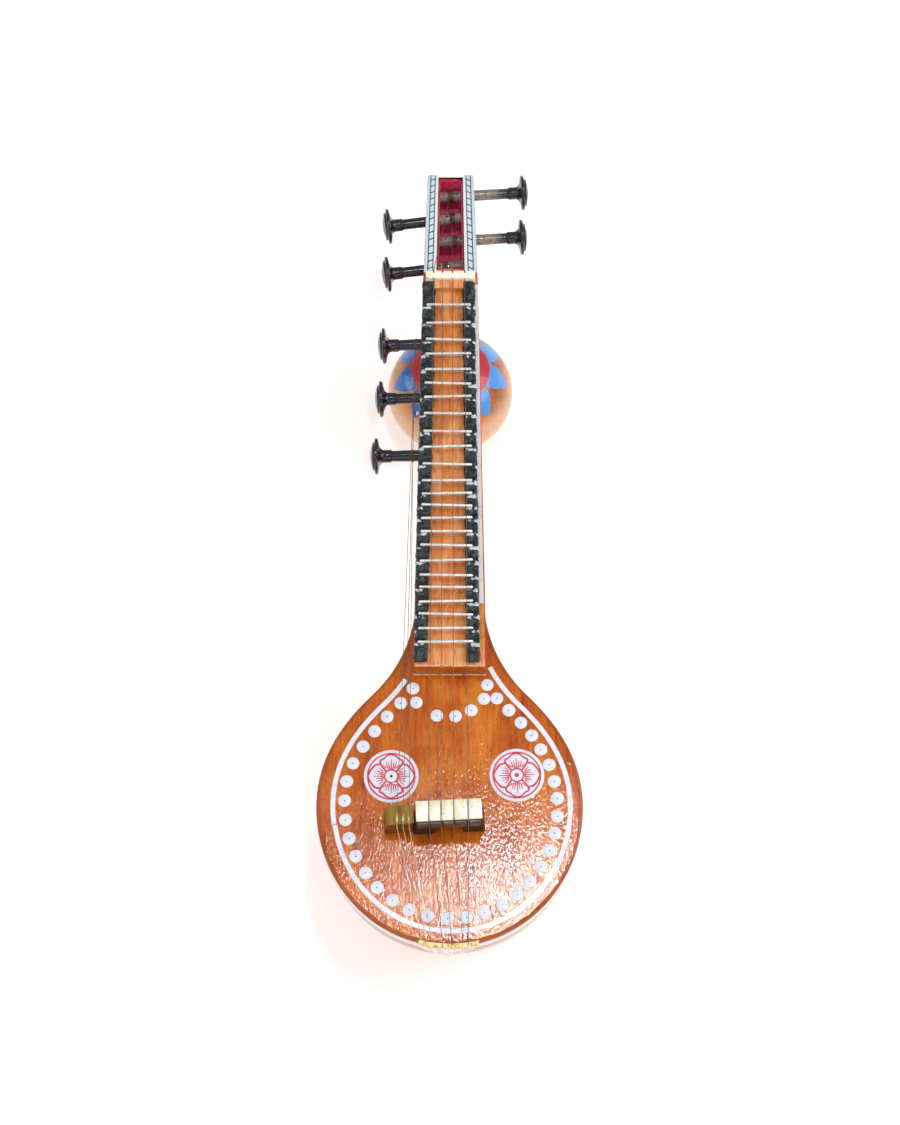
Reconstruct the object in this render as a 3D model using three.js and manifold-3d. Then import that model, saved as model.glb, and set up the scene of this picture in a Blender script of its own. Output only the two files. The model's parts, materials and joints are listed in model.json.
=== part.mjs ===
// Miniature Saraswati veena: a carved bowl with a flat soundboard, a fretted neck on wax rails,
// an open peg box and a painted gourd under the neck.
// Millimetres. +Y runs along the neck from tail to head, +Z is up from the soundboard,
// and the instrument rests on the bowl's foot and the gourd's foot at z = 0.
import * as THREE from "three";
import { mergeVertices } from "three/addons/utils/BufferGeometryUtils.js";
import Module from "manifold-3d";

const wasm = await Module();
wasm.setup();

// ---- Driving dimensions -------------------------------------------------------------------

const LENGTH = 467; // tail to head
const GAP = 0.3; // clearance between touching pieces

// Heights
const SOUNDBOARD_TOP = 84;
const SOUNDBOARD_THICKNESS = 2.7;
const NECK_BOTTOM = 62;
const NECK_TOP = 96;
const FRETBOARD_TOP = 98;
const RAIL_TOP = 102.2;
const FRET_TOP = 104;
const NUT_TOP = 105;
const BRIDGE_TOP = 109;
const SIDE_BRIDGE_TOP = 102;
const PEG_AXIS_Z = 86;

// Stations along the instrument, measured from the tail
const BODY_CENTRE = 79;
const BODY_HALF_WIDTH = 72.3;
const BODY_TAIL_REACH = 77.5;
const SHOULDER_END = 193;
const SHOULDER_HALF_WIDTH = 19.4;
const FRETBOARD_START = 153.5;
const NUT_START = 389.6;
const NUT_END = 394.9;
const FRETBOARD_END = NUT_START - GAP;
const NECK_BINDING_START = 190;
const NECK_END = 396;
const GOURD_STATION = 353;
const BRIDGE_STATION = 68.8;

// Body
const WALL = 5;
const BINDING_THICKNESS = 1.3;
const BINDING_HEIGHT = 7;
const OUTLINE_STEPS = 26; // points along each half of the outline
const BOWL_LEVELS = 9;
const FOOT_DEPTH_SHARE = 0.985; // the bowl is cut off flat at this share of its full depth
const SIDE_FULLNESS = 2.4;
const FRONT_FULLNESS = 1.5;

// Neck
const NECK_HALF_WIDTH_AT_BODY = 19.6;
const NECK_HALF_WIDTH_AT_NUT = 16;
const NECK_SECTIONS = 7;
const NECK_ROUND_STEPS = 14;

// Frets, from the nut towards the bridge; the gaps are uneven because each is set by ear
const FIRST_FRET = 373.4;
const FRET_GAPS = [
  11.7, 11, 9, 10, 9, 8.3, 10.7, 11.2, 9.4, 11, 10, 7.9, 7.3, 7.6, 8.2, 8.4, 9, 8.9, 7.1, 8.3, 7.7,
  8.1, 7.9,
];
const FRET_WIDTH = 1.7;

// Peg box
const BOX_HALF_WIDTH = 15.8;
const BOX_TAPER = 0.14; // share of the width lost from the nut to the head
const TROUGH_HALF_WIDTH = 8.3;
const LINING_THICKNESS = 1;
const TROUGH_START = NECK_END + 3;
const TROUGH_FLOOR = 73;
const STRIP_THICKNESS = 1;
const BOX_END = LENGTH - STRIP_THICKNESS - GAP;

// Pegs
const PEG_SHAFT_RADIUS = 3;
const PEG_BORE_RADIUS = 3.5;
const PEG_COLLAR_RADIUS = 4.2;
const PEG_HEAD_RADIUS = 10.5;
const PEG_SIDES = 16;

// Gourd
const GOURD_RADIUS = 37.6;
const GOURD_HALF_HEIGHT = 31.5;
const GOURD_CENTRE_Z = 30;
const GOURD_SEAT_RADIUS = 16;
const COLLAR_RADIUS = 14;
const STUD_RADIUS = 6;

// Strings
const STRING_RADIUS = 0.25;
const NUT_NOTCHES = [-9.8, -4.6, 1.2, 8.2];
const MELODY_PEG_OF = [0, 3, 1, 2]; // the peg that each melody string winds on
const MELODY_AT_PEG = [0, -3, 1, 2.5];
const MELODY_AT_BRIDGE = [-11, -4.6, 2.2, 9.9];
const MELODY_AT_TAIL = [-3.5, 1.3, 7.1, 10];
const DRONE_AT_BRIDGE = [-28, -24.7, -21.5];
const DRONE_AT_TAIL = [-14.6, -12, -9.1];

// Melody pegs cross the peg box; side is +1 for a head on the right, -1 on the left.
const MELODY_PEGS = [
  { station: 455.1, side: 1, skew: 3.9, reach: 43.5 },
  { station: 440, side: -1, skew: 7.8, reach: 37.6 },
  { station: 424.7, side: 1, skew: 4, reach: 42.7 },
  { station: 407.5, side: -1, skew: 7.6, reach: 37.7 },
];

// Drone pegs stand in blind bores in the left side of the neck.
const DRONE_PEGS = [
  { station: 357.1, side: -1, skew: 2.7, reach: 39.3 },
  { station: 322.2, side: -1, skew: 2, reach: 40.5 },
  { station: 285.4, side: -1, skew: 1.2, reach: 42.7 },
];

// ---- Colours ------------------------------------------------------------------------------

const FINISHES = {
  varnished_wood: { color: 0xc36a32, roughness: 0.35, metalness: 0 },
  black_wax: { color: 0x232d2b, roughness: 0.5, metalness: 0 },
  dark_lacquer: { color: 0x2a2528, roughness: 0.25, metalness: 0 },
  pale_metal: { color: 0xd9d9d2, roughness: 0.3, metalness: 1 },
  brass: { color: 0xd8c68a, roughness: 0.3, metalness: 1 },
  steel_string: { color: 0xa8a49a, roughness: 0.35, metalness: 1 },
  white_inlay: { color: 0xe4e8ef, roughness: 0.4, metalness: 0 },
  crimson_lining: { color: 0xb8284a, roughness: 0.6, metalness: 0 },
  painted_gourd: { color: 0xd77a2c, roughness: 0.4, metalness: 0 },
};

const materials = {};
for (const [name, look] of Object.entries(FINISHES)) {
  materials[name] = new THREE.MeshStandardMaterial({ name, ...look });
}

// ---- Helpers ------------------------------------------------------------------------------

const veena = new THREE.Group();

function y(station) {
  return station - LENGTH / 2;
}

function place(name, geometry, finish) {
  const piece = new THREE.Mesh(geometry, materials[finish]);
  piece.name = name;
  veena.add(piece);
  return piece;
}

function solid(geometry) {
  const bare = geometry.clone();
  bare.deleteAttribute("normal");
  bare.deleteAttribute("uv");
  const merged = mergeVertices(bare, 1e-4);
  return new wasm.Manifold(
    new wasm.Mesh({
      numProp: 3,
      vertProperties: merged.attributes.position.array,
      triVerts: new Uint32Array(merged.index.array),
    }),
  );
}

function geometryOf(body) {
  const mesh = body.getMesh();
  const geometry = new THREE.BufferGeometry();
  geometry.setAttribute("position", new THREE.BufferAttribute(mesh.vertProperties, 3));
  geometry.setIndex(new THREE.BufferAttribute(mesh.triVerts, 1));
  const flat = geometry.toNonIndexed();
  flat.computeVertexNormals();
  return flat;
}

function subtract(geometry, ...cutters) {
  let body = solid(geometry);
  for (const cutter of cutters) body = body.subtract(solid(cutter));
  return geometryOf(body);
}

function join(first, ...others) {
  let body = solid(first);
  for (const other of others) body = body.add(solid(other));
  return geometryOf(body);
}

function box(x0, x1, y0, y1, z0, z1) {
  const geometry = new THREE.BoxGeometry(x1 - x0, y1 - y0, z1 - z0);
  return geometry.translate((x0 + x1) / 2, (y0 + y1) / 2, (z0 + z1) / 2);
}

// A plan shape (x, y) raised from one height to another.
function slab(shape, bottom, top, curveSegments = 12) {
  const options = { depth: top - bottom, bevelEnabled: false, curveSegments };
  return new THREE.ExtrudeGeometry(shape, options).translate(0, 0, bottom);
}

// A side profile (station along the neck, height) given a width from x0 to x1.
function profileAcross(shape, x0, x1, curveSegments = 8) {
  const options = { depth: x1 - x0, bevelEnabled: false, curveSegments };
  const toSide = new THREE.Matrix4().makeBasis(
    new THREE.Vector3(0, 1, 0),
    new THREE.Vector3(0, 0, 1),
    new THREE.Vector3(1, 0, 0),
  );
  const geometry = new THREE.ExtrudeGeometry(shape, options).applyMatrix4(toSide);
  return geometry.translate(x0, y(0), 0);
}

// A front profile (x, height) given a length from y0 to y1.
function profileAlong(shape, y0, y1, curveSegments = 8) {
  const options = { depth: y1 - y0, bevelEnabled: false, curveSegments };
  return new THREE.ExtrudeGeometry(shape, options).rotateX(Math.PI / 2).translate(0, y1, 0);
}

function outlineShape(points) {
  return new THREE.Shape(points.map(([u, v]) => new THREE.Vector2(u, v)));
}

// A closed skin over rings of equally many points, each ring counter-clockwise seen from the last.
function loft(rings) {
  const count = rings[0].length;
  const points = rings.flat();
  const faces = [];
  for (let r = 0; r < rings.length - 1; r++) {
    for (let i = 0; i < count; i++) {
      const a = r * count + i;
      const b = r * count + ((i + 1) % count);
      faces.push(a, b, b + count, a, b + count, a + count);
    }
  }
  const last = (rings.length - 1) * count;
  for (const [start, flip] of [[0, true], [last, false]]) {
    const middle = new THREE.Vector3();
    for (let i = 0; i < count; i++) middle.addScaledVector(points[start + i], 1 / count);
    points.push(middle);
    const centre = points.length - 1;
    for (let i = 0; i < count; i++) {
      const a = start + i;
      const b = start + ((i + 1) % count);
      faces.push(centre, flip ? b : a, flip ? a : b);
    }
  }
  const geometry = new THREE.BufferGeometry();
  const flat = new Float32Array(points.flatMap((p) => p.toArray()));
  geometry.setAttribute("position", new THREE.BufferAttribute(flat, 3));
  geometry.setIndex(faces);
  return geometry;
}

// A straight round bar between two points.
function bar(from, to, radius, sides) {
  const run = new THREE.Vector3().subVectors(to, from);
  const geometry = new THREE.CylinderGeometry(radius, radius, run.length(), sides);
  const turn = new THREE.Quaternion().setFromUnitVectors(
    new THREE.Vector3(0, 1, 0),
    run.clone().normalize(),
  );
  geometry.applyQuaternion(turn);
  return geometry.translate(...from.clone().addScaledVector(run, 0.5).toArray());
}

// A value that changes evenly along the neck, from its body end to its nut end.
function alongNeck(station, atBody, atNut) {
  return THREE.MathUtils.mapLinear(station, FRETBOARD_START, FRETBOARD_END, atBody, atNut);
}

// ---- Body ---------------------------------------------------------------------------------

// The right half of the body's outline, from the tail to the neck, grown by an offset.
function outlineHalf(grow) {
  const width = BODY_HALF_WIDTH + grow;
  const tail = new THREE.EllipseCurve(0, BODY_CENTRE, width, BODY_TAIL_REACH + grow, -Math.PI / 2, 0);
  const waist = new THREE.CubicBezierCurve(
    new THREE.Vector2(width, BODY_CENTRE),
    new THREE.Vector2(width, 105),
    new THREE.Vector2(59.5 + grow, 125),
    new THREE.Vector2(42.5 + grow, 142),
  );
  const shoulder = new THREE.CubicBezierCurve(
    new THREE.Vector2(42.5 + grow, 142),
    new THREE.Vector2(31 + grow, 153.5),
    new THREE.Vector2(21 + grow, 171),
    new THREE.Vector2(SHOULDER_HALF_WIDTH + grow, SHOULDER_END + grow),
  );
  const path = new THREE.CurvePath();
  path.add(tail);
  path.add(waist);
  path.add(shoulder);
  return path.getSpacedPoints(OUTLINE_STEPS);
}

// The whole outline, counter-clockwise, with the shares of its width and of its front kept.
// Roundness turns the shoulders in front of the widest point into the front half of an ellipse.
function bodyOutline(grow, side = 1, front = 1, roundness = 0) {
  const half = outlineHalf(grow);
  const widest = half.findIndex((p) => p.y > BODY_CENTRE);
  const reach = SHOULDER_END - BODY_CENTRE + grow;
  const right = half.map((p, i) => {
    const ahead = p.y - BODY_CENTRE;
    if (ahead <= 0) return new THREE.Vector2(p.x * side, y(BODY_CENTRE + ahead * side));
    const angle = (Math.PI / 2) * ((i - widest + 1) / (half.length - widest));
    const round = new THREE.Vector2(
      Math.max(Math.cos(angle), 0.02) * (BODY_HALF_WIDTH + grow),
      Math.sin(angle) * reach,
    );
    const kept = new THREE.Vector2(p.x, ahead).lerp(round, roundness);
    return new THREE.Vector2(kept.x * side, y(BODY_CENTRE + kept.y * front));
  });
  const left = right.slice(1).reverse().map((p) => new THREE.Vector2(-p.x, p.y));
  return [...right, ...left];
}

// The bowl's outer form: the outline shrinks with depth, faster at the front than at the sides.
function bowlForm(grow, top, full) {
  const rings = [];
  for (let level = 0; level <= BOWL_LEVELS; level++) {
    const depth = FOOT_DEPTH_SHARE * Math.sin(((1 - level / BOWL_LEVELS) * Math.PI) / 2);
    const side = (1 - depth ** SIDE_FULLNESS) ** (1 / SIDE_FULLNESS);
    const front = (1 - depth ** FRONT_FULLNESS) ** (1 / FRONT_FULLNESS);
    const z = full - (depth / FOOT_DEPTH_SHARE) * full - (level === 0 ? grow : 0);
    const roundness = THREE.MathUtils.smoothstep(depth, 0.1, 0.8);
    const outline = bodyOutline(grow, side, front, roundness);
    rings.push(outline.map((p) => new THREE.Vector3(p.x, p.y, z)));
  }
  rings.push(bodyOutline(grow).map((p) => new THREE.Vector3(p.x, p.y, top)));
  return loft(rings);
}

function bowl() {
  const rim = SOUNDBOARD_TOP - SOUNDBOARD_THICKNESS - GAP;
  const groove = rim - BINDING_HEIGHT - GAP;
  const outer = bowlForm(0, rim, rim - 0.5);
  const hollow = bowlForm(-WALL - BINDING_THICKNESS, rim + 5, rim - 0.5).translate(0, 0, WALL + 1);
  const around = new THREE.Shape(bodyOutline(20));
  around.holes.push(new THREE.Path(bodyOutline(-BINDING_THICKNESS - GAP)));
  const ring = slab(around, groove, rim + 1);
  const kept = box(-25, 25, y(SHOULDER_END - 14), y(SHOULDER_END + 30), groove - 1, rim + 2);
  return subtract(outer, hollow, subtract(ring, kept));
}

function soundboard() {
  const shape = new THREE.Shape(bodyOutline(0));
  return slab(shape, SOUNDBOARD_TOP - SOUNDBOARD_THICKNESS, SOUNDBOARD_TOP);
}

function bodyBinding() {
  const top = SOUNDBOARD_TOP - SOUNDBOARD_THICKNESS - GAP;
  const band = new THREE.Shape(bodyOutline(0));
  band.holes.push(new THREE.Path(bodyOutline(-BINDING_THICKNESS)));
  const opening = box(-26, 26, y(SHOULDER_END - 14.3), y(SHOULDER_END + 30), 0, top + 1);
  return subtract(slab(band, top - BINDING_HEIGHT, top - 0.1), opening);
}

// ---- Neck ---------------------------------------------------------------------------------

function neckHalfWidth(station) {
  const share = THREE.MathUtils.clamp((station - SHOULDER_END) / (NECK_END - SHOULDER_END), 0, 1);
  return THREE.MathUtils.lerp(NECK_HALF_WIDTH_AT_BODY, NECK_HALF_WIDTH_AT_NUT, share);
}

// A section with a flat top, upright cheeks and a half-round back.
function neckSection(station, grow) {
  const half = neckHalfWidth(station) + grow;
  const ring = [new THREE.Vector3(-half, y(station), NECK_TOP + grow)];
  for (let i = 0; i <= NECK_ROUND_STEPS; i++) {
    const angle = Math.PI * (1 + i / NECK_ROUND_STEPS);
    const depth = SOUNDBOARD_TOP - NECK_BOTTOM + grow;
    const z = SOUNDBOARD_TOP + Math.sin(angle) * depth;
    ring.push(new THREE.Vector3(Math.cos(angle) * half, y(station), z));
  }
  ring.push(new THREE.Vector3(half, y(station), NECK_TOP + grow));
  return ring.reverse();
}

function neckForm(grow) {
  const rings = [];
  for (let i = 0; i <= NECK_SECTIONS; i++) {
    const share = i / NECK_SECTIONS;
    const station = THREE.MathUtils.lerp(FRETBOARD_START - grow, NECK_END + grow, share);
    rings.push(neckSection(station, grow));
  }
  return loft(rings);
}

function neck() {
  const bodySpace = bowlForm(GAP, SOUNDBOARD_TOP + GAP, SOUNDBOARD_TOP - 3.5);
  const bores = DRONE_PEGS.map((peg) => pegBore(peg, 12));
  return subtract(neckForm(0), bodySpace, ...bores);
}

// A flat strip on the neck between two edges, each given at the body end and at the nut end.
function neckStrip(left, right, bottom, top, start, end) {
  const shape = outlineShape([
    [alongNeck(start, ...left), y(start)],
    [alongNeck(start, ...right), y(start)],
    [alongNeck(end, ...right), y(end)],
    [alongNeck(end, ...left), y(end)],
  ]);
  return slab(shape, bottom, top);
}

// The fretboard spans the whole neck over the body, and the space between the bindings above it.
function fretboard() {
  const [bottom, top] = [NECK_TOP + GAP, FRETBOARD_TOP];
  const step = NECK_BINDING_START - GAP;
  const narrow = neckStrip([-17.2, -13.5], [16.2, 13.2], bottom, top, step - 1, FRETBOARD_END);
  const wide = neckStrip([-19.6, -15.9], [19.1, 15.9], bottom, top, FRETBOARD_START, step);
  return join(narrow, wide);
}

function neckBinding(left, right) {
  const [bottom, top] = [NECK_TOP + GAP, FRETBOARD_TOP];
  return neckStrip(left, right, bottom, top, NECK_BINDING_START, FRETBOARD_END);
}

function waxRail(left, right) {
  return neckStrip(left, right, FRETBOARD_TOP + GAP, RAIL_TOP, FRETBOARD_START + 2, FRETBOARD_END);
}

// A low bar with its upper edges eased, lying across both rails.
function fret(station, tilt) {
  const half = FRET_WIDTH / 2;
  const bottom = RAIL_TOP + 0.2;
  const profile = outlineShape([
    [-half, bottom],
    [half, bottom],
    [half, FRET_TOP - 0.5],
    [half / 2, FRET_TOP],
    [-half / 2, FRET_TOP],
    [-half, FRET_TOP - 0.5],
  ]);
  const left = alongNeck(station, -17.8, -13.5);
  const right = alongNeck(station, 12.9, 11.7);
  const geometry = profileAcross(profile, left, right).translate(0, -y(0), 0);
  return geometry.rotateZ(tilt).translate(0, y(station), 0);
}

function nut() {
  const half = 14.4;
  const base = profileAcross(
    outlineShape([
      [NUT_START, NECK_TOP + GAP],
      [NUT_END, NECK_TOP + GAP],
      [NUT_END, NUT_TOP - 0.6],
      [NUT_END - 1.5, NUT_TOP],
      [NUT_START + 1, NUT_TOP],
      [NUT_START, NUT_TOP - 0.8],
    ]),
    -half,
    half,
  );
  const notches = NUT_NOTCHES.map((x) =>
    box(x - 0.6, x + 0.6, y(NUT_START - 1), y(NUT_END + 1), NUT_TOP - 0.9, NUT_TOP + 1),
  );
  return subtract(base, ...notches);
}

// ---- Peg box ------------------------------------------------------------------------------

// Narrows a geometry evenly from the nut towards the head.
function taperToHead(geometry) {
  const positions = geometry.attributes.position;
  for (let i = 0; i < positions.count; i++) {
    const share = (positions.getY(i) - y(NECK_END)) / (LENGTH - NECK_END);
    positions.setX(i, positions.getX(i) * (1 - BOX_TAPER * share));
  }
  return geometry;
}

const BOX_BEND = 453; // station where the top of the box starts to curve down

// The top edge of the box, lowered by a drop square to its surface.
function boxTop(shape, drop) {
  shape.lineTo(BOX_BEND, FRETBOARD_TOP - drop);
  shape.bezierCurveTo(
    461.5 - drop * 0.3,
    FRETBOARD_TOP - drop,
    BOX_END - drop,
    96.5 - drop * 0.6,
    BOX_END - drop,
    85,
  );
}

function boxProfile() {
  const shape = new THREE.Shape();
  shape.moveTo(NECK_END + GAP, 64);
  shape.lineTo(NECK_END + GAP, FRETBOARD_TOP);
  boxTop(shape, 0);
  shape.lineTo(463.5, 68);
  shape.quadraticCurveTo(458, 60.5, 446, 60);
  return shape;
}

function troughProfile(inset) {
  const shape = new THREE.Shape();
  shape.moveTo(TROUGH_START + inset, TROUGH_FLOOR + inset);
  shape.lineTo(TROUGH_START + inset, FRETBOARD_TOP + 20);
  shape.lineTo(462.5 - inset, FRETBOARD_TOP + 20);
  shape.lineTo(462.5 - inset, 88);
  shape.quadraticCurveTo(461 - inset, 75 + inset, 448, TROUGH_FLOOR + inset);
  return shape;
}

function pegBox() {
  const form = taperToHead(profileAcross(boxProfile(), -BOX_HALF_WIDTH, BOX_HALF_WIDTH));
  const trough = taperToHead(
    profileAcross(troughProfile(0), -TROUGH_HALF_WIDTH, TROUGH_HALF_WIDTH),
  );
  return subtract(form, trough, ...MELODY_PEGS.map((peg) => pegBore(peg, 11.5)));
}

function pegBoxLining() {
  const half = TROUGH_HALF_WIDTH - GAP;
  const inner = half - LINING_THICKNESS;
  const outside = taperToHead(profileAcross(troughProfile(GAP), -half, half));
  const inside = taperToHead(profileAcross(troughProfile(GAP + LINING_THICKNESS), -inner, inner));
  const shape = new THREE.Shape();
  shape.moveTo(TROUGH_START - 5, FRETBOARD_TOP + 30);
  shape.lineTo(TROUGH_START - 5, FRETBOARD_TOP - 1);
  boxTop(shape, 1);
  shape.lineTo(LENGTH + 10, 79);
  shape.lineTo(LENGTH + 10, FRETBOARD_TOP + 30);
  const above = profileAcross(shape, -40, 40);
  return subtract(outside, inside, above, ...MELODY_PEGS.map((peg) => pegBore(peg, 13)));
}

// An inlaid strip that follows the top of one wall from the nut over the bend.
function ladderStrip(inner, outer) {
  const shape = new THREE.Shape();
  const under = FRETBOARD_TOP + GAP;
  const over = under + STRIP_THICKNESS;
  shape.moveTo(NECK_END + 1, under);
  shape.lineTo(BOX_BEND, under);
  shape.bezierCurveTo(461.8, under, BOX_END + GAP, 96.8, BOX_END + GAP, 84);
  shape.lineTo(LENGTH, 84);
  shape.bezierCurveTo(LENGTH, 98, 462.2, over, BOX_BEND, over);
  shape.lineTo(NECK_END + 1, over);
  return taperToHead(profileAcross(shape, inner, outer));
}

// The carved head hangs below the end of the box and curls back towards the gourd.
function scrollHead() {
  const shape = new THREE.Shape();
  shape.moveTo(445, 59.6);
  shape.quadraticCurveTo(458.3, 60, 463.8, 67.6);
  shape.bezierCurveTo(468, 58, 465, 42, 452, 38);
  shape.bezierCurveTo(444, 36, 436, 40, 436, 47);
  shape.bezierCurveTo(436, 52, 441, 55, 445, 52);
  shape.bezierCurveTo(448, 49.5, 451, 52, 449, 55);
  const half = 10;
  return profileAcross(shape, -half, half, 6);
}

// ---- Pegs ---------------------------------------------------------------------------------

// Turns a geometry made along +X from the neck's middle to where a peg stands.
function standAsPeg(geometry, peg) {
  const across = peg.side > 0 ? 0 : Math.PI;
  const skew = THREE.MathUtils.degToRad(peg.skew);
  return geometry.rotateZ(across + skew).translate(0, y(peg.station), PEG_AXIS_Z);
}

function pegBore(peg, inside) {
  const length = inside + 30;
  const bore = new THREE.CylinderGeometry(PEG_BORE_RADIUS, PEG_BORE_RADIUS, length, PEG_SIDES);
  bore.rotateZ(Math.PI / 2);
  const start = MELODY_PEGS.includes(peg) ? -inside : peg.reach - 30 - inside;
  return standAsPeg(bore.translate(start + length / 2, 0, 0), peg);
}

// A turned peg: shaft, collar, stepped disc and a low dome, drawn as radius against distance out.
function peg(spec) {
  const start = MELODY_PEGS.includes(spec) ? -11 : spec.reach - 41;
  const face = spec.reach;
  const profile = [
    [0, start],
    [PEG_SHAFT_RADIUS - 0.3, start],
    [PEG_SHAFT_RADIUS, start + 16],
    [PEG_SHAFT_RADIUS, face - 9],
    [PEG_COLLAR_RADIUS, face - 7.5],
    [PEG_COLLAR_RADIUS, face - 4.5],
    [PEG_COLLAR_RADIUS + 1, face - 1.8],
    [PEG_HEAD_RADIUS - 0.8, face - 1.3],
    [PEG_HEAD_RADIUS, face - 0.5],
    [PEG_HEAD_RADIUS, face + 0.4],
    [PEG_HEAD_RADIUS - 3.2, face + 1.3],
    [PEG_HEAD_RADIUS - 4, face + 2.3],
    [0, face + 3],
  ].map(([radius, out]) => new THREE.Vector2(radius, out));
  const turned = new THREE.LatheGeometry(profile, PEG_SIDES).rotateZ(-Math.PI / 2);
  return standAsPeg(turned, spec);
}

// ---- Bridges, tailpiece and strings -------------------------------------------------------

const BRIDGE_TURN = THREE.MathUtils.degToRad(3);
const BRIDGE_PLATE = 1.4;

function turnWithBridge(geometry) {
  return geometry.rotateZ(BRIDGE_TURN).translate(-0.4, y(BRIDGE_STATION), 0);
}

// Two flared legs under a beam, with an arch between them.
function bridgeBase() {
  const foot = SOUNDBOARD_TOP + GAP;
  const top = BRIDGE_TOP - BRIDGE_PLATE - GAP;
  const shape = new THREE.Shape();
  shape.moveTo(-19.3, foot);
  shape.lineTo(-7.5, foot);
  shape.lineTo(-7, foot + 9);
  shape.quadraticCurveTo(0, foot + 19, 7, foot + 9);
  shape.lineTo(7.5, foot);
  shape.lineTo(19.3, foot);
  shape.lineTo(17.9, foot + 12);
  shape.lineTo(17.9, top);
  shape.lineTo(-17.9, top);
  shape.lineTo(-17.9, foot + 12);
  return turnWithBridge(profileAlong(shape, -5.8, 5.8));
}

function bridgePlate() {
  const plate = box(-17.5, 17.5, -5.6, 5.6, BRIDGE_TOP - BRIDGE_PLATE, BRIDGE_TOP);
  return turnWithBridge(plate);
}

// A bent brass plate beside the bridge: it stands on its left leg and its apron, and carries
// the drone strings.
function sideBridge() {
  const shape = new THREE.Shape();
  const foot = SOUNDBOARD_TOP + GAP;
  shape.moveTo(-35.2, foot);
  shape.lineTo(-33.6, foot);
  shape.lineTo(-33.1, 98.2);
  shape.quadraticCurveTo(-32.6, 99.6, -31, 99.8);
  shape.quadraticCurveTo(-24, 99.8, -19.3, 100.4);
  shape.lineTo(-19.3, 101.8);
  shape.quadraticCurveTo(-24.5, 101.2, -31.5, 101);
  shape.quadraticCurveTo(-34.3, 100.8, -34.7, 98.2);
  const plate = profileAlong(shape, -4.6, 5.4, 6);
  const apron = box(-34.6, -20.3, -4.6, -3.5, foot, 100.2);
  return join(plate, apron).rotateZ(THREE.MathUtils.degToRad(5)).translate(0, y(BRIDGE_STATION + 1.2), 0);
}

// A brass cap over the tail edge, with a pointed apron down the bowl's side.
function tailpiece() {
  const top = SOUNDBOARD_TOP + GAP + 1;
  const band = new THREE.Shape(bodyOutline(1.5));
  band.holes.push(new THREE.Path(bodyOutline(GAP)));
  const apron = outlineShape([[-16.5, top], [-16.5, 79], [0, 66], [15.5, 79], [15.5, top]]);
  const front = profileAlong(apron, y(-5), y(12));
  const cap = new THREE.Shape(bodyOutline(1.5));
  cap.holes.push(new THREE.Path(bodyOutline(-1)));
  const capArea = box(-16.5, 15.5, y(-5), y(5), SOUNDBOARD_TOP, top + 1);
  const side = solid(slab(band, 60, top)).intersect(solid(front));
  const lid = solid(slab(cap, SOUNDBOARD_TOP + GAP, top)).intersect(solid(capArea));
  return geometryOf(side.add(lid));
}

// A taut string through its points; the bars meet at each bend.
function string(points) {
  const runs = [];
  for (let i = 1; i < points.length; i++) {
    runs.push(bar(points[i - 1], points[i], STRING_RADIUS, 6));
  }
  for (const bend of points.slice(1, -1)) {
    runs.push(new THREE.SphereGeometry(STRING_RADIUS * 1.2, 6, 4).translate(...bend.toArray()));
  }
  return join(...runs);
}

function melodyString(i) {
  const spec = MELODY_PEGS[MELODY_PEG_OF[i]];
  const above = PEG_AXIS_Z + PEG_SHAFT_RADIUS + 1;
  const bridgeY = y(BRIDGE_STATION - 6.5);
  return string([
    new THREE.Vector3(MELODY_AT_PEG[i], y(spec.station), above),
    new THREE.Vector3(NUT_NOTCHES[i], y(NECK_END + 0.5), NUT_TOP - 0.3),
    new THREE.Vector3(MELODY_AT_BRIDGE[i], bridgeY, BRIDGE_TOP + 0.8),
    new THREE.Vector3(MELODY_AT_TAIL[i], y(3), SOUNDBOARD_TOP + 2),
  ]);
}

function droneString(i) {
  const spec = DRONE_PEGS[i];
  const start = neckHalfWidth(spec.station) + 3.4;
  return string([
    new THREE.Vector3(-start, y(spec.station), PEG_AXIS_Z + PEG_SHAFT_RADIUS + 0.8),
    new THREE.Vector3(DRONE_AT_BRIDGE[i], y(BRIDGE_STATION - 6.5), SIDE_BRIDGE_TOP + 1.4),
    new THREE.Vector3(DRONE_AT_TAIL[i], y(3.4), SOUNDBOARD_TOP + 2),
  ]);
}

// A small turned stud on the left cheek of the neck that keeps the drone strings apart.
function stringGuide() {
  const station = 309;
  const from = new THREE.Vector3(-neckHalfWidth(station) - GAP, y(station), 92);
  const to = from.clone().add(new THREE.Vector3(-1.6, 0, 0));
  return bar(from, to, 1.3, 12);
}

// ---- Gourd --------------------------------------------------------------------------------

function gourdHeightAt(radius) {
  return GOURD_HALF_HEIGHT * Math.sqrt(1 - (radius / GOURD_RADIUS) ** 2);
}

function gourd() {
  const seat = GOURD_CENTRE_Z + gourdHeightAt(GOURD_SEAT_RADIUS);
  const lowest = -Math.asin(GOURD_CENTRE_Z / GOURD_HALF_HEIGHT);
  const highest = Math.acos(GOURD_SEAT_RADIUS / GOURD_RADIUS);
  const steps = 12;
  const profile = [new THREE.Vector2(0, 0)];
  for (let i = 0; i <= steps; i++) {
    const angle = THREE.MathUtils.lerp(lowest, highest, i / steps);
    const z = GOURD_CENTRE_Z + Math.sin(angle) * GOURD_HALF_HEIGHT;
    profile.push(new THREE.Vector2(Math.cos(angle) * GOURD_RADIUS, Math.max(z, 0)));
  }
  profile.push(new THREE.Vector2(STUD_RADIUS, seat));
  profile.push(new THREE.Vector2(STUD_RADIUS, NECK_BOTTOM - 0.6));
  profile.push(new THREE.Vector2(0, NECK_BOTTOM - 0.6));
  const turned = new THREE.LatheGeometry(profile, 40).rotateX(Math.PI / 2);
  return turned.translate(0, y(GOURD_STATION), 0);
}

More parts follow.
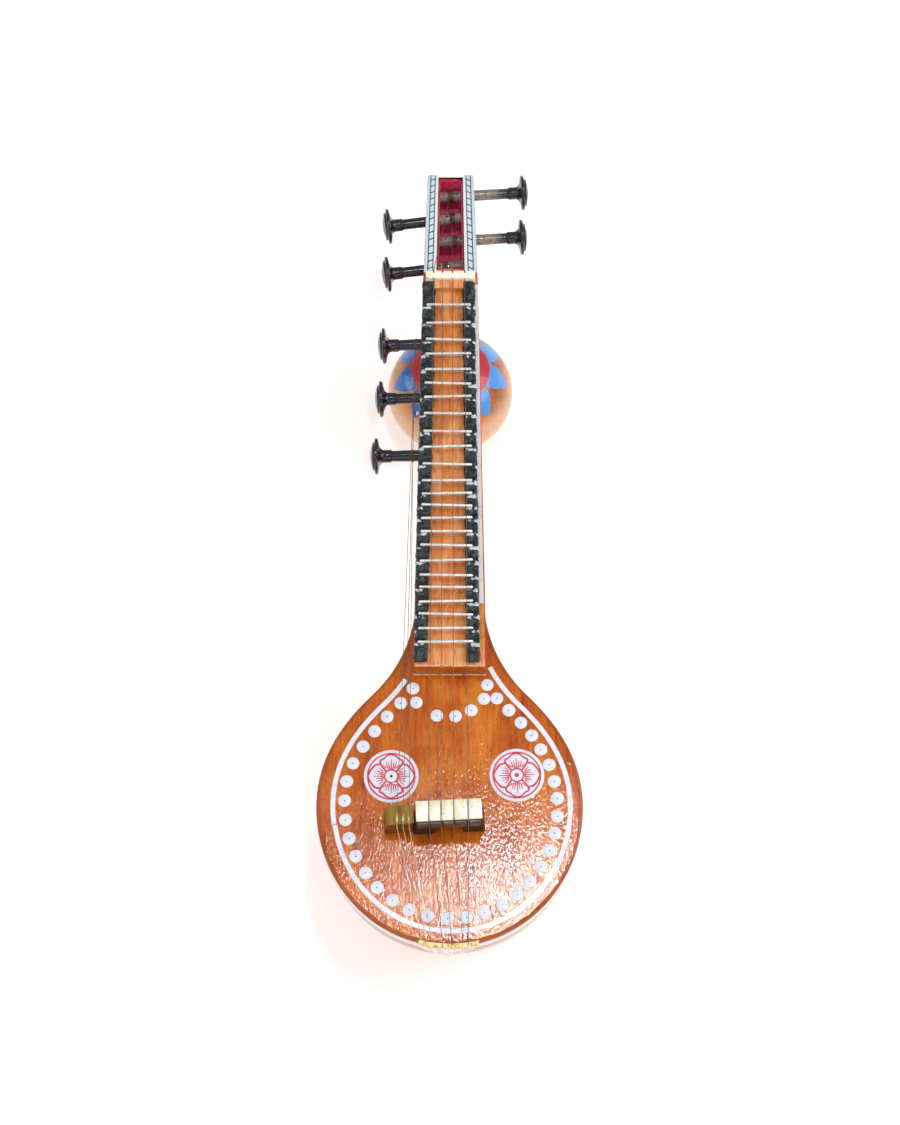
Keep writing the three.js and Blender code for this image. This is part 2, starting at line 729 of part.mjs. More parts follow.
// A turned ring that fits the neck's round back and takes the gourd's stud.
function gourdCollar() {
  const bottom = GOURD_CENTRE_Z + gourdHeightAt(GOURD_SEAT_RADIUS) + GAP;
  const bore = STUD_RADIUS + 0.5;
  const profile = [
    [bore, bottom],
    [COLLAR_RADIUS + 1.5, bottom],
    [COLLAR_RADIUS, bottom + 2.5],
    [COLLAR_RADIUS - 0.5, 76],
    [bore, 76],
    [bore, bottom],
  ].map(([radius, z]) => new THREE.Vector2(radius, z));
  const ring = new THREE.LatheGeometry(profile, 36).rotateX(Math.PI / 2);
  return subtract(ring.translate(0, y(GOURD_STATION), 0), neckForm(GAP));
}

// ---- Assembly -----------------------------------------------------------------------------

place("bowl", bowl(), "varnished_wood");
place("soundboard", soundboard(), "varnished_wood");
place("body_binding", bodyBinding(), "white_inlay");
place("neck", neck(), "varnished_wood");
place("fretboard", fretboard(), "varnished_wood");
place("neck_binding_left", neckBinding([-19.6, -15.9], [-17.5, -13.8]), "white_inlay");
place("neck_binding_right", neckBinding([16.5, 13.5], [19.1, 15.9]), "white_inlay");
place("wax_rail_left", waxRail([-19.8, -16.1], [-12.6, -8.8]), "black_wax");
place("wax_rail_right", waxRail([9.3, 7.2], [16.2, 14]), "black_wax");

let fretStation = FIRST_FRET;
for (let i = 0; i <= FRET_GAPS.length; i++) {
  const tilt = THREE.MathUtils.degToRad(1.6 * Math.sin(2.3 * i));
  const name = "fret_" + String(i + 1).padStart(2, "0");
  place(name, fret(fretStation, tilt), "pale_metal");
  fretStation -= FRET_GAPS[i];
}

place("nut", nut(), "brass");
place("peg_box", pegBox(), "varnished_wood");
place("peg_box_lining", pegBoxLining(), "crimson_lining");
const [stripInner, stripOuter] = [TROUGH_HALF_WIDTH, BOX_HALF_WIDTH - 0.2];
place("ladder_strip_left", ladderStrip(-stripOuter, -stripInner), "white_inlay");
place("ladder_strip_right", ladderStrip(stripInner, stripOuter), "white_inlay");
place("scroll_head", scrollHead(), "varnished_wood");
MELODY_PEGS.forEach((spec, i) => place(`melody_peg_${i + 1}`, peg(spec), "dark_lacquer"));
DRONE_PEGS.forEach((spec, i) => place(`drone_peg_${i + 1}`, peg(spec), "dark_lacquer"));
place("bridge_base", bridgeBase(), "dark_lacquer");
place("bridge_plate", bridgePlate(), "brass");
place("side_bridge", sideBridge(), "brass");
place("tailpiece", tailpiece(), "brass");
NUT_NOTCHES.forEach((_, i) => place(`melody_string_${i + 1}`, melodyString(i), "steel_string"));
DRONE_PEGS.forEach((_, i) => place(`drone_string_${i + 1}`, droneString(i), "steel_string"));
place("string_guide", stringGuide(), "white_inlay");
place("gourd", gourd(), "painted_gourd");
place("gourd_collar", gourdCollar(), "varnished_wood");

export default veena;
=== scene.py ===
"""Miniature Saraswati veena: the visual model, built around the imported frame."""

import json
import math

import bmesh
import bpy
from mathutils import Matrix, Vector, noise

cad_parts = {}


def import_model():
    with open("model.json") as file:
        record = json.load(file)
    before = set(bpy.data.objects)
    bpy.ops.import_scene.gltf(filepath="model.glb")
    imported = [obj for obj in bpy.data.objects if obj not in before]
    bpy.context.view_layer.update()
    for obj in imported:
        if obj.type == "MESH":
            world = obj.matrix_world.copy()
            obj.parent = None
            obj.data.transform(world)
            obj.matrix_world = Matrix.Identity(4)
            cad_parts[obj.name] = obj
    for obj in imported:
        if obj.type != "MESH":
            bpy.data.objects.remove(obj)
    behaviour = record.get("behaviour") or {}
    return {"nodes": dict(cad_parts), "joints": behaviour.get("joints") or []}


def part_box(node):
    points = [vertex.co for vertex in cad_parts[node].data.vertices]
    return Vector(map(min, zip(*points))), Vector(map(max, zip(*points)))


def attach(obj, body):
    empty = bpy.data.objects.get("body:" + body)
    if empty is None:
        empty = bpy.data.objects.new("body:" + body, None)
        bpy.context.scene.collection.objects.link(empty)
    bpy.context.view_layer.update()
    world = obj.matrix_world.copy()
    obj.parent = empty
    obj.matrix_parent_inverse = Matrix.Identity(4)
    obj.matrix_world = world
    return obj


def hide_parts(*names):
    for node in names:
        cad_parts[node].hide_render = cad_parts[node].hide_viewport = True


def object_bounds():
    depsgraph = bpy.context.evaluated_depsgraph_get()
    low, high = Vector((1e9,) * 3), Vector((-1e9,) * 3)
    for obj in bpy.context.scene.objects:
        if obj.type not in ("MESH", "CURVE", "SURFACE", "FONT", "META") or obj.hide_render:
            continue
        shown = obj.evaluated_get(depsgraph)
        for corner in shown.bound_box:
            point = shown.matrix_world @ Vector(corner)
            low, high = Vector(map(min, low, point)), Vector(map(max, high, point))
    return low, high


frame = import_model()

bl_info = {
    "name": "Miniature Veena",
    "version": (1, 0, 0),
    "blender": (4, 5, 0),
    "location": "View3D > Sidebar > Veena",
    "description": "Builds a miniature Saraswati veena piece by piece around its packed frame",
    "category": "Add Mesh",
}

CAD_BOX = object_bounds()
MM = 0.001
TAIL_Y = CAD_BOX[0].y
BODY = "instrument"  # the body that everything fixed rides on


# ---- Places -------------------------------------------------------------------------------
# Points are written (x, station, z) in millimetres, with the station measured from the tail.


def world(x, station, z):
    return Vector((x * MM, TAIL_Y + station * MM, z * MM))


def station_of(y):
    return (y - TAIL_Y) / MM


def corners(node):
    """A frame node's lowest and highest corners as (x, station, z) in millimetres."""
    return [(c.x / MM, station_of(c.y), c.z / MM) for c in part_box(node)]


SOUNDBOARD = corners("soundboard")
TOP_Z = SOUNDBOARD[1][2]
UNDER_Z = SOUNDBOARD[0][2]
HALF_WIDTH = SOUNDBOARD[1][0]
FRETBOARD = corners("fretboard")
NECK = corners("neck")
BRIDGE = corners("bridge_plate")
NUT = corners("nut")
GOURD = corners("gourd")
LINING = corners("peg_box_lining")
BOX_TAPER = 0.14  # share of its width that the peg box loses by its end
BOX_BEND = 453.0  # station where the ladder strips start to curve down
BOX_REACH = corners("ladder_strip_left")[1][1]
GOURD_STATION = (GOURD[0][1] + GOURD[1][1]) / 2
FRET_NAMES = sorted(n for n in frame["nodes"] if n.startswith("fret_"))
PEG_NAMES = sorted(n for n in frame["nodes"] if "_peg_" in n)
JOINTS = {joint["child"]: joint for joint in frame["joints"]}

# Where the strings cross the instrument, as x in millimetres, from the drone side on.
NUT_NOTCHES = (-9.8, -4.6, 1.2, 8.2)
MELODY_PEG_OF = (0, 3, 1, 2)  # the peg, counted from 0, that each melody string winds on
MELODY_AT_PEG = (0.0, -3.0, 1.0, 2.5)
MELODY_AT_BRIDGE = (-11.0, -4.6, 2.2, 9.9)
MELODY_AT_TAIL = (-3.5, 1.3, 7.1, 10.0)
DRONE_AT_BRIDGE = (-28.0, -24.7, -21.5)
DRONE_AT_TAIL = (-14.6, -12.0, -9.1)
WINDING_Z = 89.85  # height at which a string leaves its peg


# ---- Mesh helpers -------------------------------------------------------------------------


def finish_mesh(mesh, merge=0.0, sharp=35.0):
    """Merges doubles within a distance, turns the faces out and shades smooth but for edges."""
    work = bmesh.new()
    work.from_mesh(mesh)
    if merge:
        bmesh.ops.remove_doubles(work, verts=work.verts, dist=merge * MM)
    bmesh.ops.recalc_face_normals(work, faces=work.faces)
    work.to_mesh(mesh)
    work.free()
    mesh.shade_smooth()
    mesh.set_sharp_from_angle(angle=math.radians(sharp))


def add_piece(name, mesh, material, body=BODY, slot=None, replaces=()):
    """An object of a mesh, riding on a body; material is None where the mesh has its own."""
    piece = bpy.data.objects.new(name, mesh)
    bpy.context.scene.collection.objects.link(piece)
    if material is not None:
        mesh.materials.clear()
        mesh.materials.append(material)
    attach(piece, body)
    if replaces:
        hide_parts(*replaces)
    return piece


def shape_mesh(name, shape, layers=None, merge=0.0, sharp=35.0):
    """A mesh of a shape's (points, faces), with numbers at its points that a material reads."""
    points, faces = shape
    mesh = bpy.data.meshes.new(name)
    mesh.from_pydata([world(*p) for p in points], [], faces)
    for key, values in (layers or {}).items():
        layer = mesh.attributes.new(key, "FLOAT", "POINT")
        layer.data.foreach_set("value", values)
    finish_mesh(mesh, merge, sharp)
    return mesh


def solid_piece(name, shape, material, merge=0.001, **riding):
    return add_piece(name, shape_mesh(name, shape, merge=merge), material, **riding)


def loft(rings):
    """Points and faces of a closed skin over rings of equally many points."""
    count = len(rings[0])
    points = [p for ring in rings for p in ring]
    faces = []
    for r in range(len(rings) - 1):
        for i in range(count):
            a, b = r * count + i, r * count + (i + 1) % count
            faces.append((a, b, b + count, a + count))
    faces.append(tuple(reversed(range(count))))
    faces.append(tuple(range((len(rings) - 1) * count, len(rings) * count)))
    return points, faces


def round_angles(sides):
    return [2 * math.pi * i / sides for i in range(sides)]


def turned(profile, sides, put):
    """A lathe: (radius, out) pairs turned about an axis; put(a, b, out) gives the point."""
    angles = round_angles(sides)
    rings = []
    for radius, out in profile:
        rings.append([put(radius * math.cos(t), radius * math.sin(t), out) for t in angles])
    return loft(rings)


def tube(path, radius, sides=8):
    """A round tube along (x, station, z) points, with radius as a function of 0 to 1."""
    spots = [Vector(p) for p in path]
    rings = []
    side = (spots[1] - spots[0]).normalized().orthogonal()
    for i, spot in enumerate(spots):
        ahead = (spots[min(i + 1, len(spots) - 1)] - spots[max(i - 1, 0)]).normalized()
        side = (side - ahead * side.dot(ahead)).normalized()
        other = ahead.cross(side)
        r = radius(i / (len(spots) - 1))
        ring = [spot + side * r * math.cos(t) + other * r * math.sin(t) for t in round_angles(sides)]
        rings.append([tuple(point) for point in ring])
    return loft(rings)


def joined(*shapes):
    points, faces = [], []
    for shape_points, shape_faces in shapes:
        start = len(points)
        points += shape_points
        faces += [tuple(i + start for i in face) for face in shape_faces]
    return points, faces


def refined(node, name, material, slot, bevel=0.25, segments=3):
    """A copy of a frame node with merged faces and eased edges, which stands for it."""
    weld = 0.02 * MM
    flat, sharp = math.radians(2), math.radians(35)
    mesh = frame["nodes"][node].data.copy()
    mesh.name = name
    work = bmesh.new()
    work.from_mesh(mesh)
    bmesh.ops.remove_doubles(work, verts=work.verts, dist=weld)
    bmesh.ops.dissolve_limit(work, angle_limit=flat, verts=work.verts, edges=work.edges)
    work.to_mesh(mesh)
    work.free()
    mesh.shade_smooth()
    mesh.set_sharp_from_angle(angle=sharp)
    piece = add_piece(name, mesh, material, slot=slot, replaces=[node])
    ease = piece.modifiers.new("eased_edges", "BEVEL")
    ease.width = bevel * MM
    ease.segments = segments
    ease.limit_method = "ANGLE"
    ease.angle_limit = sharp
    ease.harden_normals = True
    return piece


# ---- Shader helpers -----------------------------------------------------------------------


def colour(tone):
    """A linear colour from a hex string such as "c8693a", or from a setting's three numbers."""
    if not isinstance(tone, str):
        return (*tone, 1.0)
    parts = [int(tone[i : i + 2], 16) / 255 for i in (0, 2, 4)]
    linear = [p / 12.92 if p <= 0.04045 else ((p + 0.055) / 1.055) ** 2.4 for p in parts]
    return (*linear, 1.0)


class Value:
    """A number that varies over a surface, which Python sums can use."""

    def __init__(self, paint, socket):
        self.paint = paint
        self.socket = socket

    def maths(self, operation, *others):
        """A Math node on this value, and on others where it takes more than one."""
        return self.paint.maths(operation, self, *others)

    def __add__(self, other):
        return self.maths("ADD", other)

    def __sub__(self, other):
        return self.maths("SUBTRACT", other)

    def __rsub__(self, other):
        return self.paint.maths("SUBTRACT", other, self)

    def __mul__(self, other):
        return self.maths("MULTIPLY", other)

    def __truediv__(self, other):
        return self.maths("DIVIDE", other)

    def __abs__(self):
        return self.maths("ABSOLUTE")

    __radd__ = __add__
    __rmul__ = __mul__


class Paint:
    def __init__(self, name):
        self.material = bpy.data.materials.new(name)
        self.material.use_nodes = True
        self.tree = self.material.node_tree
        self.tree.nodes.clear()

    def node(self, kind, settings=None, sockets=None, output=0):
        made = self.tree.nodes.new(kind)
        for key, value in (settings or {}).items():
            if key == "stops":
                self.set_stops(made.color_ramp, value)
            else:
                setattr(made, key, value)
        for key, value in (sockets or {}).items():
            if isinstance(value, Value):
                self.tree.links.new(value.socket, made.inputs[key])
            else:
                made.inputs[key].default_value = value
        return Value(self, made.outputs[output])

    def maths(self, operation, *values):
        return self.node("ShaderNodeMath", {"operation": operation}, dict(enumerate(values)))

    @staticmethod
    def set_stops(ramp, stops):
        while len(ramp.elements) < len(stops):
            ramp.elements.new(1.0)
        for element, (position, shade) in zip(ramp.elements, stops):
            element.position = position
            element.color = shade

    def place(self, scale=(1, 1, 1), move=(0, 0, 0)):
        """Object coordinates, moved and then scaled."""
        where = self.node("ShaderNodeTexCoord", output="Object")
        shift = [-m * s for m, s in zip(move, scale)]
        sockets = {"Vector": where, "Location": shift, "Scale": scale}
        return self.node("ShaderNodeMapping", {"vector_type": "POINT"}, sockets)

    def axes(self, vector):
        """The vector's x, y and z."""
        return [self.node("ShaderNodeSeparateXYZ", None, {0: vector}, i) for i in range(3)]

    def noise(self, vector, scale, detail=3.0, roughness=0.5, distortion=0.0):
        sockets = {"Vector": vector, "Scale": scale, "Detail": detail}
        sockets |= {"Roughness": roughness, "Distortion": distortion}
        return self.node("ShaderNodeTexNoise", None, sockets)

    def step(self, value, low, high):
        """0 below low, 1 above high, and smooth between them."""
        settings = {"interpolation_type": "SMOOTHSTEP"}
        return self.node("ShaderNodeMapRange", settings, {0: value, 1: low, 2: high})

    def band(self, value, centre, half, soft):
        """1 within half of centre, with soft edges."""
        return 1 - self.step(abs(value - centre), half - soft, half + soft)

    def mix(self, first, second, factor):
        settings = {"data_type": "RGBA", "blend_type": "MIX", "clamp_factor": True}
        return self.node("ShaderNodeMix", settings, {0: factor, 6: first, 7: second}, 2)

    def attribute(self, name):
        return self.node("ShaderNodeAttribute", {"attribute_name": name}, None, "Fac")

    def bump(self, height, distance, strength=1.0):
        sockets = {"Height": height, "Distance": distance * MM, "Strength": strength}
        return self.node("ShaderNodeBump", None, sockets)

    def finish(self, **sockets):
        """The material, with sockets such as base_color named in small letters."""
        names = {key: key.replace("_", " ").title().replace("Ior", "IOR") for key in sockets}
        values = {names[key]: value for key, value in sockets.items()}
        surface = self.node("ShaderNodeBsdfPrincipled", None, values)
        output = self.tree.nodes.new("ShaderNodeOutputMaterial")
        self.tree.links.new(surface.socket, output.inputs["Surface"])
        return self.material


# ---- Geometry node helpers ----------------------------------------------------------------


class Layout:
    """A geometry node group written as a chain of calls."""

    def __init__(self, name, *inputs):
        self.tree = bpy.data.node_groups.new(name, "GeometryNodeTree")
        geometry = "NodeSocketGeometry"
        self.tree.interface.new_socket("Geometry", in_out="INPUT", socket_type=geometry)
        for label, kind in inputs:
            self.tree.interface.new_socket(label, in_out="INPUT", socket_type="NodeSocket" + kind)
        self.tree.interface.new_socket("Geometry", in_out="OUTPUT", socket_type=geometry)
        self.entry = self.tree.nodes.new("NodeGroupInput")

    def input(self, label):
        return self.entry.outputs[label]

    def node(self, kind, settings=None, sockets=None, output=0):
        prefix = "" if kind.startswith(("Shader", "Function")) else "GeometryNode"
        made = self.tree.nodes.new(prefix + kind)
        for key, value in (settings or {}).items():
            setattr(made, key, value)
        for key, value in (sockets or {}).items():
            if isinstance(value, bpy.types.NodeSocket):
                self.tree.links.new(value, made.inputs[key])
            else:
                made.inputs[key].default_value = value
        return made.outputs[output]

    def close(self, geometry, material):
        real = self.node("RealizeInstances", None, {"Geometry": geometry})
        painted = self.node("SetMaterial", None, {"Geometry": real, "Material": material})
        end = self.tree.nodes.new("NodeGroupOutput")
        self.tree.links.new(painted, end.inputs["Geometry"])
        return self.tree


def path_group():
    """Gives every edge path of the geometry a round or a flat section."""
    layout = Layout(
        "section_along_paths",
        ("Width", "Float"),
        ("Height", "Float"),
        ("Round", "Bool"),
        ("Sides", "Int"),
        ("Material", "Material"),
    )
    width, height = layout.input("Width"), layout.input("Height")
    lines = layout.node("MeshToCurve", None, {"Mesh": layout.input("Geometry")})
    upright = layout.node("SetCurveNormal", {"mode": "Z_UP"}, {"Curve": lines})
    sockets = {"Width": width, "Height": height}
    flat = layout.node("CurvePrimitiveQuadrilateral", {"mode": "RECTANGLE"}, sockets)
    sockets = {"Resolution": layout.input("Sides"), "Radius": 0.5}
    circle = layout.node("CurvePrimitiveCircle", None, sockets)
    size = layout.node("ShaderNodeCombineXYZ", None, {"X": width, "Y": height, "Z": 1.0})
    oval = layout.node("Transform", None, {"Geometry": circle, "Scale": size})
    sockets = {"Switch": layout.input("Round"), "False": flat, "True": oval}
    section = layout.node("Switch", {"input_type": "GEOMETRY"}, sockets)
    sockets = {"Curve": upright, "Profile Curve": section, "Fill Caps": True}
    swept = layout.node("CurveToMesh", None, sockets)
    return layout.close(swept, layout.input("Material"))


def repeat_group():
    """Puts a shape on every point, turned, sized and a little wobbled."""
    layout = Layout(
        "shape_on_points",
        ("Shape", "Object"),
        ("Wobble", "Vector"),
        ("Seed", "Int"),
        ("Material", "Material"),
    )
    vector = {"data_type": "FLOAT_VECTOR"}
    most = layout.input("Wobble")
    shape = layout.node("ObjectInfo", None, {"Object": layout.input("Shape")}, "Geometry")
    turn = layout.node("InputNamedAttribute", vector, {"Name": "turn"})
    size = layout.node("InputNamedAttribute", vector, {"Name": "size"})
    least = layout.node("ShaderNodeVectorMath", {"operation": "SCALE"}, {0: most, "Scale": -1.0})
    sockets = {"Min": least, "Max": most, "Seed": layout.input("Seed")}
    wobble = layout.node("FunctionNodeRandomValue", vector, sockets)
    total = layout.node("ShaderNodeVectorMath", {"operation": "ADD"}, {0: turn, 1: wobble})
    points = layout.node("MeshToPoints", None, {"Mesh": layout.input("Geometry")})
    sockets = {"Points": points, "Instance": shape, "Rotation": total, "Scale": size}
    placed = layout.node("InstanceOnPoints", None, sockets)
    return layout.close(placed, layout.input("Material"))


def evaluated(name, mesh, group, values):
    """The mesh that a node group makes of a mesh, with the group's inputs set by name."""
    holder = bpy.data.objects.new(name + "_source", mesh)
    bpy.context.scene.collection.objects.link(holder)
    modifier = holder.modifiers.new(group.name, "NODES")
    modifier.node_group = group
    for item in group.interface.items_tree:
        if item.item_type == "SOCKET" and item.in_out == "INPUT" and item.name in values:
            modifier[item.identifier] = values[item.name]
    bpy.context.view_layer.update()
    ready = holder.evaluated_get(bpy.context.evaluated_depsgraph_get())
    made = bpy.data.meshes.new_from_object(ready)
    made.name = name
    bpy.data.objects.remove(holder)
    finish_mesh(made)
    return made


def group_named(name, maker):
    return bpy.data.node_groups.get(name) or maker()


def paths_mesh(paths):
    points = [world(*p) for path in paths for p in path]
    edges = []
    start = 0
    for path in paths:
        edges += [(start + i, start + i + 1) for i in range(len(path) - 1)]
        start += len(path)
    mesh = bpy.data.meshes.new("paths")
    mesh.from_pydata(points, edges, [])
    return mesh


def swept_piece(name, paths, width, height, material, is_round=True, sides=10, **riding):
    """A piece of one section swept along several paths of (x, station, z) points."""
    values = {"Width": width * MM, "Height": height * MM, "Round": is_round}
    values |= {"Sides": sides, "Material": material}
    group = group_named("section_along_paths", path_group)
    return add_piece(name, evaluated(name, paths_mesh(paths), group, values), None, **riding)


def repeated_piece(name, spots, shape, material, wobble=(0, 0, 0), seed=1, **riding):
    """A piece of one shape repeated on spots, each ((x, station, z), turn, size)."""
    points, faces = shape
    pattern = bpy.data.meshes.new(name + "_shape")
    pattern.from_pydata([tuple(c * MM for c in p) for p in points], [], faces)
    finish_mesh(pattern)
    pattern_object = bpy.data.objects.new(name + "_shape", pattern)
    bpy.context.scene.collection.objects.link(pattern_object)
    mesh = bpy.data.meshes.new(name + "_spots")
    mesh.from_pydata([world(*place) for place, _, _ in spots], [], [])
    for key, index in (("turn", 1), ("size", 2)):
        layer = mesh.attributes.new(key, "FLOAT_VECTOR", "POINT")
        layer.data.foreach_set("vector", [c for spot in spots for c in spot[index]])
    values = {"Shape": pattern_object, "Wobble": wobble, "Seed": seed, "Material": material}
    made = evaluated(name, mesh, group_named("shape_on_points", repeat_group), values)
    bpy.data.objects.remove(pattern_object)
    return add_piece(name, made, None, **riding)


# ---- Outline of the body ------------------------------------------------------------------

CENTRE_STATION = 79.0
TAIL_REACH = CENTRE_STATION - SOUNDBOARD[0][1]
SHOULDER_STATION = SOUNDBOARD[1][1]
SHOULDER_HALF = 19.4


def cubic(a, b, c, d, steps=30):
    """The points after a on a Bezier curve from a to d."""
    made = []
    for i in range(1, steps + 1):
        t = i / steps
        s = 1 - t
        weights = (s**3, 3 * s * s * t, 3 * s * t * t, t**3)
        made.append(tuple(sum(w * p[k] for w, p in zip(weights, (a, b, c, d))) for k in (0, 1)))
    return made


def spaced(path, count):
    """A path walked in count even steps."""
    lengths = [0.0]
    for a, b in zip(path, path[1:]):
        lengths.append(lengths[-1] + math.dist(a, b))
    made = []
    at = 0
    for i in range(count + 1):
        goal = lengths[-1] * i / count
        while at < len(path) - 2 and lengths[at + 1] < goal:
            at += 1
        share = (goal - lengths[at]) / max(lengths[at + 1] - lengths[at], 1e-9)
        made.append(tuple(p + (q - p) * share for p, q in zip(path[at], path[at + 1])))
    return made


def outline_half(grow, count):
    """The right half of the outline as (x, station): an ellipse, the waist and the shoulder."""
    width, reach = HALF_WIDTH + grow, TAIL_REACH + grow
    turns = [math.radians(-90 + 1.5 * i) for i in range(61)]
    path = [(width * math.cos(t), CENTRE_STATION + reach * math.sin(t)) for t in turns]
    waist = (42.5 + grow, 142)
    path += cubic((width, CENTRE_STATION), (width, 105), (59.5 + grow, 125), waist)
    end = (SHOULDER_HALF + grow, SHOULDER_STATION + min(grow, 0))
    path += cubic(waist, (31 + grow, 153.5), (21 + grow, 171), end)
    return spaced(path, count)


def outline(grow, count=100, side=1.0, front=1.0, roundness=0.0):
    """The whole outline; roundness turns the shoulders into half an ellipse."""
    half = outline_half(grow, count)
    widest = next(i for i, p in enumerate(half) if p[1] > CENTRE_STATION)
    right = []
    for i, (x, station) in enumerate(half):
        ahead = station - CENTRE_STATION
        if ahead <= 0:
            right.append((x * side, CENTRE_STATION + ahead * side))
            continue
        turn = math.pi / 2 * (i - widest + 1) / (len(half) - widest)
        oval_x = max(math.cos(turn), 0.02) * (HALF_WIDTH + grow)
        oval_ahead = math.sin(turn) * (SHOULDER_STATION - CENTRE_STATION + grow)
        x += (oval_x - x) * roundness
        ahead += (oval_ahead - ahead) * roundness
        right.append((x * side, CENTRE_STATION + ahead * front))
    return right + [(-x, station) for x, station in reversed(right[1:])]


def inset_path(distance, left_end, right_end, steps=400):
    """A line inside the outline, from the left shoulder round the tail to the right one."""
    half = outline_half(0, steps)
    whole = [(-x, s) for x, s in reversed(half)] + half[1:]
    made = []
    for i, (x, s) in enumerate(whole):
        before, after = whole[max(i - 1, 0)], whole[min(i + 1, len(whole) - 1)]
        run = math.dist(before, after)
        ahead = ((after[0] - before[0]) / run, (after[1] - before[1]) / run)
        point = (x - ahead[1] * distance, s + ahead[0] * distance)
        if point[1] < (left_end if point[0] < 0 else right_end):
            made.append(point)
    return made


def smoothstep(value, low, high):
    t = min(max((value - low) / (high - low), 0.0), 1.0)
    return t * t * (3 - 2 * t)


def with_height(path, z):
    return [(x, s, z) for x, s in path]


# ---- Body ---------------------------------------------------------------------------------


def build_bowl(materials):
    """The carved bowl: a flat foot, round sides, and a groove under the rim for the binding."""
    rim = UNDER_Z - 0.3
    groove = rim - 7.3
    levels = 40
    foot_depth = 0.985  # share of the whole depth at which the foot cuts the bowl off
    side_power, front_power = 2.4, 1.5
    foot_ease, foot_share = 0.5, 0.97
    rings = []
    for level in range(levels + 1):
        depth = foot_depth * math.sin((1 - level / levels) * math.pi / 2)
        side = (1 - depth**side_power) ** (1 / side_power)
        front = (1 - depth**front_power) ** (1 / front_power)
        z = (rim - foot_ease) * (1 - depth / foot_depth)
        if z > groove:
            break
        ring = outline(0, 100, side, front, smoothstep(depth, 0.1, 0.8))
        if level == 0:
            ahead = CENTRE_STATION * (1 - foot_share)
            rings.append([(x * foot_share, s * foot_share + ahead, 0.0) for x, s in ring])
            z = foot_ease
        rings.append(with_height(ring, z))
    for grow, z in ((0, groove - 0.2), (-0.2, groove), (-1.5, groove), (-1.5, rim)):
        rings.append(with_height(outline(grow), z))
    solid_piece("bowl_wood", loft(rings), materials["wood"], slot="varnished_wood", replaces=["bowl"])


def build_soundboard(materials):
    """The flat top; it keeps how near each point is to the rim, which the wood's material paints
    darker.
    """
    ease = 1.6
    levels = [(-0.3, UNDER_Z, 1.0), (0.0, UNDER_Z + 0.3, 1.0)]  # (grow, z, nearness to the rim)
    for i in range(8):
        turn = math.pi / 2 * i / 7
        grow, z = -ease * (1 - math.cos(turn)), TOP_Z - ease + ease * math.sin(turn)
        levels.append((grow, z, 1.0 - 0.3 * i / 7))
    levels += [(-2.4, TOP_Z, 0.35), (-3.6, TOP_Z, 0.0)]
    rings = [with_height(outline(grow), z) for grow, z, _ in levels]
    rim = [nearness for (_, _, nearness), ring in zip(levels, rings) for _ in ring]
    mesh = shape_mesh("soundboard_wood", loft(rings), {"rim": rim})
    add_piece(mesh.name, mesh, materials["wood"], slot="varnished_wood", replaces=["soundboard"])


def build_body_binding(materials):
    """The pale strip in the bowl's groove, open where the neck is."""
    thickness = 1.3
    low, high = corners("body_binding")
    half = outline_half(-thickness / 2, 200)
    path = [p for p in half if p[1] < high[1]]
    whole = [(-x, s) for x, s in reversed(path)] + path[1:]
    swept_piece(
        "body_binding_strip",
        [with_height(whole, (low[2] + high[2]) / 2)],
        thickness,
        high[2] - low[2],
        materials["binding"],
        is_round=False,
        slot="white_inlay",
        replaces=["body_binding"],
    )


INLAY_OFF_CENTRE = 0.8  # how far right of the middle the line and the discs are laid


def build_edge_line(materials):
    """The line inside the rim, laid in two runs that don't quite meet."""
    band = [(x + INLAY_OFF_CENTRE, s) for x, s in inset_path(8.3, 150.8, 158.1)]
    lifted = with_height(spaced(band, 260), TOP_Z - 0.1)
    joint = next(i for i, p in enumerate(lifted) if p[1] < 67)
    runs = [lifted[:joint], [(x + 0.5, s - 0.4, z) for x, s, z in lifted[joint - 1 :]]]
    paint = materials["inlay"]
    swept_piece("edge_line_inlay", runs, 2.6, 0.5, paint, is_round=False, slot="white_inlay")


def disc_places(disc_count):
    """The discs' centres: a row along the edge line, then a scallop in front of the fretboard."""
    last = disc_count - 1
    fine = 40  # steps of the track for each disc
    track = spaced(inset_path(14.6, 145.3, 147.9), fine * last)
    steps = [fine * (i + 0.65 * math.sin(math.pi * i / last)) for i in range(last + 1)]
    places = [(track[round(step)][0] + INLAY_OFF_CENTRE, track[round(step)][1]) for step in steps]
    centre, radius = (-0.5, 151.0), 22.6
    for angle in (-142.6, -106.8, -80.3, -56.0, -31.5):
        turn = math.radians(angle)
        place = (centre[0] + radius * math.cos(turn), centre[1] + radius * math.sin(turn))
        places.append(place)
    return places


def build_discs(materials, settings):
    """The inlaid discs, each with the mark of the compass point at its middle."""
    noise.seed_set(1 + settings.seed)
    spots = []
    for i, (x, s) in enumerate(disc_places(settings.disc_count)):
        off = noise.noise_vector(Vector((i * 3.7, settings.seed, 0))) * 0.55
        size = 1 + off.z * 0.06
        scale = (size, size * (1 + off.y * 0.05), 1)
        spots.append(((x + off.x, s + off.y, TOP_Z), (0, 0, off.x * 4), scale))
    tilt = (0.01, 0.01, 0.0)
    disc = [(0.0, -0.3), (3.45, -0.3), (3.5, 0.12), (3.35, 0.22), (0.42, 0.22), (0.3, 0.0), (0.0, 0.0)]
    dot = [(0.0, -0.1), (0.36, -0.1), (0.36, 0.1), (0.0, 0.13)]
    for name, profile, sides, paint, slot in (
        ("inlay_discs", disc, 28, "inlay", "white_inlay"),
        ("inlay_disc_dots", dot, 10, "ink", "dark_wood"),
    ):
        shape = turned(profile, sides, lambda a, b, out: (a, b, out))
        repeated_piece(name, spots, shape, materials[paint], tilt, settings.seed, slot=slot)


